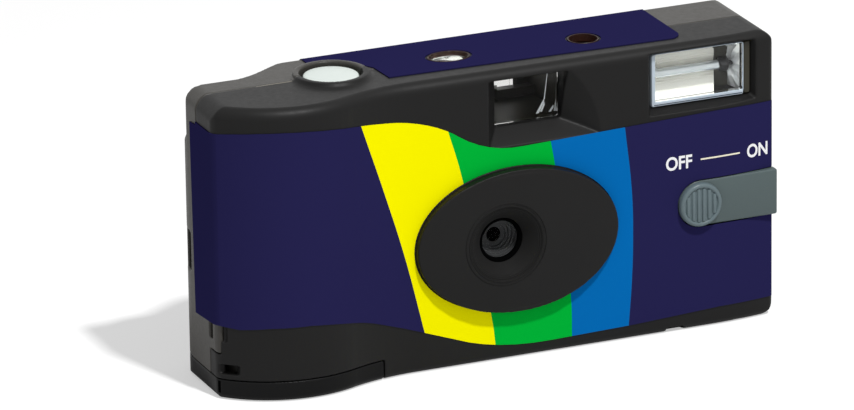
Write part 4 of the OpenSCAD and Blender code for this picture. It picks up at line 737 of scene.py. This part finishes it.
# %% Throat, ring and glass
STEP_R = (4.45, 4.1, 3.7, 3.3, 2.9, 2.4)
STEP_Y = (-11.2, -10.7, -10.2, -9.7, -9.2, -8.7, -8.3)
STOP_R, STOP_BACK_Y = 1.5, -8.15
THROAT_OUTSIDE = [(3.35, STOP_BACK_Y), (3.35, -9.55), (4.5, -9.55), (4.6, STEP_Y[0])]
RING = [(4.5, -11.2), (4.5, -11.95), (4.3, -12.0), (3.85, -11.75), (3.75, -11.4), (3.75, -11.1)]
GLASS_Y, GLASS_BEND_R, GLASS_THICKNESS = -11.7, 18, 0.45
GLASS_RADII = (AXIS_R, 1, 2, 3, 3.8, 4.3)

throat = [(r, y) for k, r in enumerate(STEP_R) for y in STEP_Y[k:k + 2]]
throat += [(STOP_R, STEP_Y[-1]), (STOP_R, STOP_BACK_Y), *THROAT_OUTSIDE]
add_piece("lens_throat", [("ring", turn_y(LENS_X, LENS_Z, throat))], throat_grey)
# Partly painted shade: a real black ring, drawn darkest to stand for the shaded barrel round the glass.
add_piece("lens_ring", [("ring", turn_y(LENS_X, LENS_Z, RING))], blade_black_and_painted_shade)
front = [(r, GLASS_Y + r * r / (2 * GLASS_BEND_R)) for r in GLASS_RADII]
back = [(r, y + GLASS_THICKNESS) for r, y in reversed(front)]
add_piece("lens_glass", [("solid", turn_y(LENS_X, LENS_Z, front + back))], lens_plastic,
          instead_of="lens")
print("lens: throat of", len(STEP_R), "steps, ring, glass")

# %% [markdown]
# ## Flash pane
# The flash sits behind a clear pane. Its moulded edge is thick at the left and below and is drawn
# pale, a painted highlight of the light that the clear edge carries, with a dark blue line where the
# plastic bends the light. A dark strip at the right of the opening is painted shade of the wall seen
# through the pane. Glass could bend real light to that line, but with much noise, so it is a piece
# of its own.

# %% Flash pane and edge
PANE = (33.3, 52.0, 47.45, 57.15)
PANE_RADII = (0.3,) * 4
EDGE = (32.4, 52.15, 46.5, 57.3)
EDGE_RADII = (0.5, 0.4, 0.4, 0.5)
LINE = (32.9, 51.9, 46.78, 46.98)
SIDE_SHADE_BOX = (52.2, 53.65, 46.6, 57.3)
SQUARE = (0.1,) * 4
PANE_BACK_Y = -8.3

pane_levels = [(0.3, -10.35), (0.0, -10.1), (0.0, PANE_BACK_Y)]
add_piece("flash_pane", [("solid", panes(PANE, PANE_RADII, pane_levels))], clear_plastic,
          instead_of="flash_window")
edge_outside = panes(EDGE, EDGE_RADII, [(0.0, -9.6), (0.05, -10.2), (0.15, -10.35)])
edge_inside = panes(PANE, PANE_RADII, [(-0.12, -10.4), (-0.02, -10.2), (-0.02, PANE_BACK_Y)])
edge_back = panes(EDGE, EDGE_RADII, [(0.0, PANE_BACK_Y)])
# Painted highlight: the pale edge stands for light caught in the clear edge of the pane.
add_piece("flash_edge", [("ring", edge_outside + edge_inside + edge_back)], pane_edge_highlight)
line_levels = [(0.05, -10.42), (0.0, -10.38), (0.0, -10.1)]
add_piece("flash_line", [("solid", panes(LINE, SQUARE, line_levels))], line_blue)
side_shade_levels = [(0.2, -10.2), (0.0, -10.0), (0.0, PANE_BACK_Y)]
# Painted shade: a dark strip where the wall at the right is seen in shade through the pane.
add_piece("flash_side_shade", [("solid", panes(SIDE_SHADE_BOX, EDGE_RADII, side_shade_levels))], olive)
print("flash: pane, edge, line and side")

# %% [markdown]
# ## Trough and tube
# Behind the pane lies a cream trough with fine ribs that spread the light of a thin tube, and
# beside it a dark column that holds the tube's end. The ribs could be a bump, but a bump has no
# outline where the trough ends at a slant, so a cosine in the cross-section makes them.

# %% Trough, column, tube and terminal
TUBE_Y, TUBE_Z = middle_of("flash_tube")[1:]
INSIDE_BACK_Y = -1.55
TROUGH_X0, TROUGH_X1 = 32.6, 48.2
TROUGH_FLOOR_Y, TROUGH_DEPTH, TROUGH_BEND = -4.3, 3.4, 2.2
TROUGH_HALF, TROUGH_BACK_HALF = 5.2, 5.3
TROUGH_STEPS, TROUGH_CREASE = 96, 60
FLUTE_TURNS, FLUTE_HEIGHT, FLUTE_FADE = 19, 0.1, 2.6
END_SLANT, SLANT_Y = 0.47, -4.6
COLUMN = (TROUGH_X1, 51.2, 46.9, 56.9)
TUBE = [(0.8, 32.7), (0.95, 32.9), (0.95, 48.4), (0.8, 48.6)]
TERMINAL = [(0.5, 48.5), (1.25, 48.6), (1.45, 48.9), (1.45, 50.2), (1.1, 50.6), (0.5, 50.8), (0.5, 51.6)]


def trough_loop(x, slant):
    """Cross-section of the trough at x: a hollow curve with fine ribs, and a plain back."""
    inner, outer = [], []
    for k in range(TROUGH_STEPS + 1):
        t = 2 * k / TROUGH_STEPS - 1
        flute = FLUTE_HEIGHT * math.cos(FLUTE_TURNS * math.pi * t) * math.cos(FLUTE_FADE * math.pi * t)
        y = TROUGH_FLOOR_Y - TROUGH_DEPTH * abs(t) ** TROUGH_BEND + flute
        inner.append(at(x + slant * (y - SLANT_Y), y, TUBE_Z + TROUGH_HALF * t))
        outer.append(at(x, INSIDE_BACK_Y, TUBE_Z + TROUGH_BACK_HALF * t))
    return inner + outer[::-1]


trough_loops = [trough_loop(TROUGH_X0, 0.0), trough_loop(TROUGH_X1, END_SLANT)]
add_piece("flash_trough", [("solid", trough_loops)], reflector_cream,
          instead_of="flash_reflector", crease=TROUGH_CREASE)
column_levels = [(0.2, -4.6), (0.0, -4.4), (0.0, INSIDE_BACK_Y)]
add_piece("flash_column", [("solid", panes(COLUMN, SQUARE, column_levels))], olive)
add_piece("flash_bulb", [("solid", turn_x(TUBE_Y, TUBE_Z, TUBE))], tube_glass,
          instead_of="flash_tube")
add_piece("flash_terminal", [("solid", turn_x(TUBE_Y, TUBE_Z, TERMINAL))], cap_dark)
print("flash: trough, column, tube, terminal")

# %% [markdown]
# ## Mirror of the flash
# At the right end of the trough a bright foil is folded in pleats that fan out from the tube. Noise
# could crinkle a flat sheet, but the real folds are straight and few. A rim of points is drawn in
# towards the tube, and every second one is pushed out of line.

# %% Mirror
RIM_SIDE_Y = (-4.5, -5.7, -6.9)
RIM_FRONT_Y = -8.45
RIM_FRONT_Z = (47.0, 48.6, 50.3, 51.9, 53.5, 55.2, 57.0)
RIM_BACK_Z = (54.5, 51.9, 49.3)
MIRROR_X, MIRROR_LEAN, MIRROR_THICKNESS = 51.2, 1.0, 0.3
FAN_X, FAN_Y, FAN_FLATTEN = 51.3, -4.7, 0.45
FAN_MIDDLE, FAN_END, FAN_END_X = 0.55, 0.1, 51.4
FOLD_OUT, FOLD_IN = 0.5, -0.1
FOLD_CREASE = 5


def fan_point(x, y, z, share):
    """A point between the end of the tube, at share 0, and the rim, at share 1."""
    return at(x, FAN_Y + share * (y - FAN_Y), TUBE_Z + share * (z - TUBE_Z))


def pleat_loops():
    """Fan of pleats between the end of the tube and the frame of the mirror."""
    rim = [(y, RIM_FRONT_Z[0]) for y in RIM_SIDE_Y] + [(RIM_FRONT_Y, z) for z in RIM_FRONT_Z]
    rim += [(y, RIM_FRONT_Z[-1]) for y in reversed(RIM_SIDE_Y)]
    rim += [(RIM_SIDE_Y[0], z) for z in RIM_BACK_Z]
    behind, outside, middle, inside = [], [], [], []
    for k, (y, z) in enumerate(rim):
        forward_share = (RIM_SIDE_Y[0] - y) / (RIM_SIDE_Y[0] - RIM_FRONT_Y)
        x = MIRROR_X + MIRROR_LEAN * forward_share
        fold_x = FAN_X + FAN_FLATTEN * (x - FAN_X) - (FOLD_OUT if k % 2 else FOLD_IN)
        behind.append(at(x + MIRROR_THICKNESS, y, z))
        outside.append(at(x, y, z))
        middle.append(fan_point(fold_x, y, z, FAN_MIDDLE))
        inside.append(fan_point(FAN_END_X, y, z, FAN_END))
    return [behind, outside, middle, inside]


add_piece("flash_mirror", [("solid", pleat_loops())], mirror, crease=FOLD_CREASE)
print("flash: mirror")

# %% [markdown]
# ## Finder
# The finder is a straight dark tunnel with a bevelled clear block in front. Its right side is
# moulded at a slant, so a few bright reflections show there. A prism would make them by itself, but
# they would change with every small turn of the view, so they are laid in as thin pale facets:
# painted reflections.

# %% Finder block, tunnel and painted glints
FINDER = (0.3, 13.9, 46.7, 56.5)
FINDER_RADII = (0.4,) * 4
FLANGE = (-0.6, 14.8, 46.35, 57.3)
FLANGE_Y = -6.5
TUNNEL = (-0.7, 15.4, 46.35, 57.45)
TUNNEL_Y0, TUNNEL_Y1, TUNNEL_WALL = -4.9, 10.4, 0.08
FACET_Y = (-4.65, -4.55)
INNER_GLINTS = [
    [(12.72, 55.4), (12.82, 55.4), (12.1, 49.6), (11.9, 49.6)],
    [(11.94, 49.7), (10.2, 46.9), (10.8, 46.9), (12.0, 49.2)],
    [(12.0, 49.0), (11.1, 47.2), (11.5, 47.1), (12.1, 48.5)],
]
OUTER_GLINTS = [
    [(14.55, 55.4), (14.7, 55.4), (14.66, 47.8), (14.42, 47.8)],
    [(14.45, 49.4), (14.0, 46.9), (14.7, 46.9), (14.65, 48.0)],
    [(13.9, 48.2), (12.9, 46.9), (13.4, 46.9), (14.0, 47.7)],
]


def glint_facet(corners):
    """A thin pale facet inside the finder, a painted reflection; the corners are X and Z."""
    return "solid", [[at(x, y, z) for x, z in corners] for y in FACET_Y]


block = panes(FINDER, FINDER_RADII, [(0.6, -7.6), (0.0, -7.1), (0.0, FLANGE_Y)])
block += panes(FLANGE, FINDER_RADII, [(0.0, FLANGE_Y), (0.0, -5.05)])
add_piece("finder_block", [("solid", block)], finder_plastic,
          instead_of="viewfinder_front_lens")
tunnel = panes(TUNNEL, SQUARE, [(0.0, TUNNEL_Y0), (TUNNEL_WALL, TUNNEL_Y0), (TUNNEL_WALL, TUNNEL_Y1),
                                (0.0, TUNNEL_Y1)])
add_piece("finder_tunnel", [("ring", tunnel)], olive)
facets = [glint_facet(corners) for corners in INNER_GLINTS + OUTER_GLINTS]
# Painted reflections laid in as thin pale facets.
add_piece("finder_glints", facets, glint_white)
print("finder: block, tunnel and", len(facets), "facets")

# %% [markdown]
# ## Flash switch
# The slider is a grey strip with soft edges and a round pad whose six ribs stand in a shallow
# dish for the finger. A remesh could soften the solid, but it would wash out the ribs. The strip,
# the pad and each rib have their own loops instead, with the small roundings drawn in.

# %% Flash switch
SWITCH_X0, SWITCH_X1, SWITCH_R = 37.3, 58.7, 4.7
SWITCH_Z = middle_of("flash_switch")[2]
SWITCH_BOX = (SWITCH_X0, SWITCH_X1, SWITCH_Z - SWITCH_R, SWITCH_Z + SWITCH_R)
SWITCH_Y = -12.2
ROUND_END = SWITCH_R - 0.01
SWITCH_RADII = (ROUND_END, 0.5, 0.5, ROUND_END)
ROUND_STEPS = 16
STRIP_LEVELS = [(0.0, -10.6), (0.0, SWITCH_Y + 0.4), (0.12, SWITCH_Y + 0.12), (0.4, SWITCH_Y)]
STEM_LOW, STEM_HIGH = (39.1, -10.7, 24.5), (42.1, -9.0, 27.5)
FOOT_LOW, FOOT_HIGH = (39.1, -9.0, 23.0), (42.1, -8.2, 29.0)
PAD_X = SWITCH_X0 + 4.4
PAD = [(4.2, -12.0), (4.3, -12.35), (4.5, -12.5), (4.5, -12.7), (4.45, -13.1), (4.3, -13.4),
       (4.0, -13.58), (3.75, -13.57), (3.6, -13.45), (3.5, -13.2), (AXIS_R, -13.2)]
DISH_R = 3.45
RIB_COUNT, RIB_PITCH = 6, 1.12
RIB_SECTION = [(-0.4, -13.1), (-0.36, -13.4), (-0.2, -13.56), (0.2, -13.56), (0.36, -13.4), (0.4, -13.1)]
RIB_END, RIB_END_SCALE, RIB_END_DROP = 0.25, 0.7, 0.2
SWITCH_CREASE = 50


def rib_loops(x):
    """One rounded rib of the pad, cut off by the dish round it."""
    reach = math.sqrt(DISH_R ** 2 - (x - PAD_X) ** 2)
    places = [(-reach, RIB_END_SCALE), (-reach + RIB_END, 1.0), (reach - RIB_END, 1.0),
              (reach, RIB_END_SCALE)]
    return [[at(x + dx * scale, y + (1 - scale) * RIB_END_DROP, SWITCH_Z + z) for dx, y in RIB_SECTION]
            for z, scale in places]


strip = panes(SWITCH_BOX, SWITCH_RADII, STRIP_LEVELS, ROUND_STEPS)
slider = [("solid", strip), ("solid", bar(STEM_LOW, STEM_HIGH)), ("solid", bar(FOOT_LOW, FOOT_HIGH))]
add_piece("slider", slider, switch_grey, "switch", "flash_switch", SWITCH_CREASE)
rib_places = [PAD_X + (k - (RIB_COUNT - 1) / 2) * RIB_PITCH for k in range(RIB_COUNT)]
ribs = [("solid", rib_loops(x)) for x in rib_places]
add_piece("slider_pad", [("solid", turn_y(PAD_X, SWITCH_Z, PAD)), *ribs], pad_grey, "switch",
          crease=SWITCH_CREASE)
print("slider with", len(ribs), "ribs")

# %% [markdown]
# ## Shutter button
# The button is a white, slightly domed disc on a stem, with a flange that keeps it in its collar
# and a bar that guides it. Two cylinders would do from far off, but the light shows the round of the
# edge, so the disc is one turned profile.

# %% Shutter button
BUTTON_R, STEM_R, FLANGE_R = 5.45, 1.6, 6.7
STEM_Z, FLANGE_Z0, FLANGE_Z1 = 47.7, 56.3, 57.3
DOME = [(BUTTON_R, 58.75), (5.4, 59.0), (5.25, 59.15), (5.0, 59.24), (4.0, 59.32), (2.0, 59.38),
        (AXIS_R, 59.4)]
CAP = [(AXIS_R, STEM_Z), (STEM_R, STEM_Z), (STEM_R, FLANGE_Z0), (FLANGE_R, FLANGE_Z0),
       (FLANGE_R, FLANGE_Z1), (BUTTON_R, FLANGE_Z1), *DOME]
GUIDE_LOW, GUIDE_HIGH = (-27.9, -3.7, 51.8), (-26.1, -1.9, 56.5)

disc = turn_z(*middle_of("shutter_button")[:2], CAP)
button = [("solid", disc), ("solid", bar(GUIDE_LOW, GUIDE_HIGH))]
add_piece("button_cap", button, button_white, "button", "shutter_button")
print("button cap", 2 * BUTTON_R, "mm across")

# %% [markdown]
# ## Top openings
# The holes of the frame counter and of the flash lamp have dark rims, and a clear window closes the
# first. Rims could be painted on the cover, but the eye looks down into the holes and sees their
# walls. Thin turned rings line them, the first drawn out to an oval.

# %% Rims, window and dial
COUNTER = (-5.6, 0.8)
COUNTER_STRETCH = 3.15 / 4.3
COUNTER_RIM_R = 4.28
LAMP = middle_of("ready_lamp")[:2]
LAMP_RIM_R = 3.08
WINDOW = [(3.9, 57.64), (3.98, 57.7), (3.98, 58.15), (3.8, 58.25)]
DIAL = middle_of("counter_dial")[:2]
DIAL_FACE = [(9.1, 57.2), (9.2, 57.26), (9.2, 57.34), (9.1, 57.4)]


def rim_profile(r):
    """Radius and Z of a thin rim with a rounded lip; r is its outside."""
    return [(r, 57.65), (r, 59.12), (r - 0.08, 59.2), (r - 0.23, 59.15), (r - 0.28, 57.65)]


counter_rim = turn_z(*COUNTER, rim_profile(COUNTER_RIM_R), COUNTER_STRETCH)
add_piece("counter_rim", [("ring", counter_rim)], rim_brown)
add_piece("lamp_rim", [("ring", turn_z(*LAMP, rim_profile(LAMP_RIM_R)))], rim_brown)
add_piece("counter_glass", [("solid", turn_z(*COUNTER, WINDOW, COUNTER_STRETCH))], window_plastic)
add_piece("dial_face", [("solid", turn_z(*DIAL, DIAL_FACE))], gear_white, "counter")
print("top: two rims, window and dial")

# %% [markdown]
# ## Numbers of the counter
# A white dial turns under the window and shows how many frames are left. A picture of numbers would
# need unwrapping. Blender's text gives clean outlines, which are laid round the dial and ride it.

# %% Numbers
NUMBER_COUNT, FIRST_NUMBER, NUMBER_STEP = 10, 27, 3
DIGIT_WIDTH, DIGIT_HEIGHT, DIGIT_BOLD = 0.85, 1.3, 0.01
NUMBER_R, NUMBER_Z = 6.6, 57.42


def letters(words, height, width, bold):
    """Points and faces of a word, drawn from 0 to width and from 0 to height."""
    curve = bpy.data.curves.new("word", "FONT")
    curve.body = words
    curve.offset = bold
    holder = bpy.data.objects.new("word", curve)
    bpy.context.scene.collection.objects.link(holder)
    bpy.context.view_layer.update()
    mesh = bpy.data.meshes.new_from_object(holder.evaluated_get(bpy.context.evaluated_depsgraph_get()))
    spots = [v.co.copy() for v in mesh.vertices]
    faces = [tuple(face.vertices) for face in mesh.polygons]
    bpy.data.objects.remove(holder)
    bpy.data.meshes.remove(mesh)
    low = Vector((min(p.x for p in spots), min(p.y for p in spots)))
    high = Vector((max(p.x for p in spots), max(p.y for p in spots)))
    scale = (width / (high.x - low.x), height / (high.y - low.y))
    return [((p.x - low.x) * scale[0], (p.y - low.y) * scale[1]) for p in spots], faces


points, faces = [], []
for k in range(NUMBER_COUNT):
    number = str(FIRST_NUMBER - NUMBER_STEP * k)
    width = DIGIT_WIDTH * len(number)
    flat, shapes = letters(number, DIGIT_HEIGHT, width, DIGIT_BOLD)
    faces += [tuple(i + len(points) for i in shape) for shape in shapes]
    turn = math.radians(360 / NUMBER_COUNT * k)
    for u, v in flat:
        x, y = u - width / 2, NUMBER_R + v
        points.append(at(DIAL[0] + x * math.cos(turn) - y * math.sin(turn),
                         DIAL[1] + x * math.sin(turn) + y * math.cos(turn), NUMBER_Z))
finish_piece("dial_numbers", points, faces, number_black, "counter")
print("dial with", NUMBER_COUNT, "numbers")

# %% [markdown]
# ## Seam at the top
# Where the covers meet on the left of the button, the lip of the front cover catches the light as
# a pale line, which ends in a small dark notch at the collar. The softened covers round that lip
# away, so the line is laid on again as a low pale bar, a painted highlight, that fades into the cover
# at its left end, and the notch is a black wedge of painted shade.

# %% Seam line and notch
TOP_Z = 59.0
SEAM_RISE = ((-46.0, -0.05), (-44.0, 0.02), (-41.0, 0.04), (-38.4, 0.04))
SEAM_FOOT, SEAM_CREST, SEAM_FOOT_Z = 0.09, 0.05, 58.9
NOTCH_X = (-38.35, -37.6)
NOTCH_SECTION = ((-0.1, 58.8), (0.0, 59.03), (1.3, 59.03), (1.4, 58.8))

seam = [[at(x, -SEAM_FOOT, SEAM_FOOT_Z), at(x, -SEAM_CREST, TOP_Z + rise),
         at(x, SEAM_CREST, TOP_Z + rise), at(x, SEAM_FOOT, SEAM_FOOT_Z)] for x, rise in SEAM_RISE]
# Painted highlight: the pale bar stands for light on the rounded lip.
add_piece("seam_line", [("solid", seam)], seam_grey)
notch = [[at(x, y, z) for y, z in NOTCH_SECTION] for x in NOTCH_X]
# Painted shade: a black wedge where the notch lies in shade.
add_piece("seam_notch_shade", [("solid", notch)], blade_black_and_painted_shade)
print("seam line and notch")

# %% [markdown]
# ## Film door
# A narrow upright groove marks the front corner of the film door and shows as a dark line of shade.
# It could be cut with a boolean, but the door should keep its own mesh. It is a dark strip of
# painted shade instead, which follows the round of the corner and rides the door.

# %% Corner groove of the door
CORNER_X, CORNER_Y, CORNER_R = -54.5, -6.67, 4.02
GROOVE_ANGLES = [math.radians(angle) for angle in (197, 200, 203, 206, 209, 212)]
GROOVE_PROUD = (-0.05, 0.05, 0.08, 0.08, 0.05, -0.05)
GROOVE_Z0, GROOVE_Z1, GROOVE_SUNK = 1.3, 3.7, -0.3


def groove_point(angle, z, proud):
    """A point that stands proud of the round corner of the grip."""
    r = CORNER_R + proud
    return at(CORNER_X + r * math.cos(angle), CORNER_Y + r * math.sin(angle), z)


groove = [[groove_point(angle, GROOVE_Z0, proud), groove_point(angle, GROOVE_Z1, proud),
           groove_point(angle, GROOVE_Z1, GROOVE_SUNK), groove_point(angle, GROOVE_Z0, GROOVE_SUNK)]
          for angle, proud in zip(GROOVE_ANGLES, GROOVE_PROUD)]
# Painted shade: a black strip where the groove would lie in shade.
add_piece("door_groove_shade", [("solid", groove)], blade_black_and_painted_shade, "door")
print("door groove", round(CORNER_R * (GROOVE_ANGLES[-1] - GROOVE_ANGLES[0]), 1), "mm wide")

# %% [markdown]
# ## Switch legend
# Two words and a dash above the slider tell which way it switches. They could be part of the
# print, but letters are hard to draw with shader nodes. They are cut from Blender's text as a thin
# film and laid on the wrap point by point, so they follow the curve of the front.

# %% OFF and ON
FRONT_Y = -12.0
TAPER_X, TAPER_R = 44.0, 80.0
LABEL_THICKNESS = 0.2
FILM = 0.03
LEGEND_Z, LEGEND_HEIGHT, LEGEND_BOLD = 33.65, 2.8, 0.024
LEGEND_WORDS = (("legend_off", "OFF", 34.6, 5.6), ("legend_on", "ON", 52.25, 4.7))
DASH_X = (42.05, 43.0, 45.0, 47.0, 49.0, 50.6)
DASH_Z0, DASH_Z1 = 34.93, 35.25


def front_y(x):
    """Y of the front face, flat in the middle and curving back at the right end."""
    past = max(x - TAPER_X, 0)
    return FRONT_Y + TAPER_R - math.sqrt(TAPER_R ** 2 - past ** 2)


def on_wrap(x, z):
    """A point just in front of the printed wrap."""
    return at(x, front_y(x) - LABEL_THICKNESS - FILM, z)


for name, words, x0, width in LEGEND_WORDS:
    flat, faces = letters(words, LEGEND_HEIGHT, width, LEGEND_BOLD)
    points = [on_wrap(x0 + u, LEGEND_Z + v) for u, v in flat]
    finish_piece(name, points, faces, legend_white)
dash_points = [on_wrap(x, z) for x in DASH_X for z in (DASH_Z0, DASH_Z1)]
dash_faces = [(2 * k, 2 * k + 2, 2 * k + 3, 2 * k + 1) for k in range(len(DASH_X) - 1)]
finish_piece("legend_dash", dash_points, dash_faces, legend_cream)
print("legend: two words and a dash")

# %% [markdown]
# ## End
# The dressing is done. A dressed object must not outgrow the solids of the frame.

# %% Finish
print("dressing done")
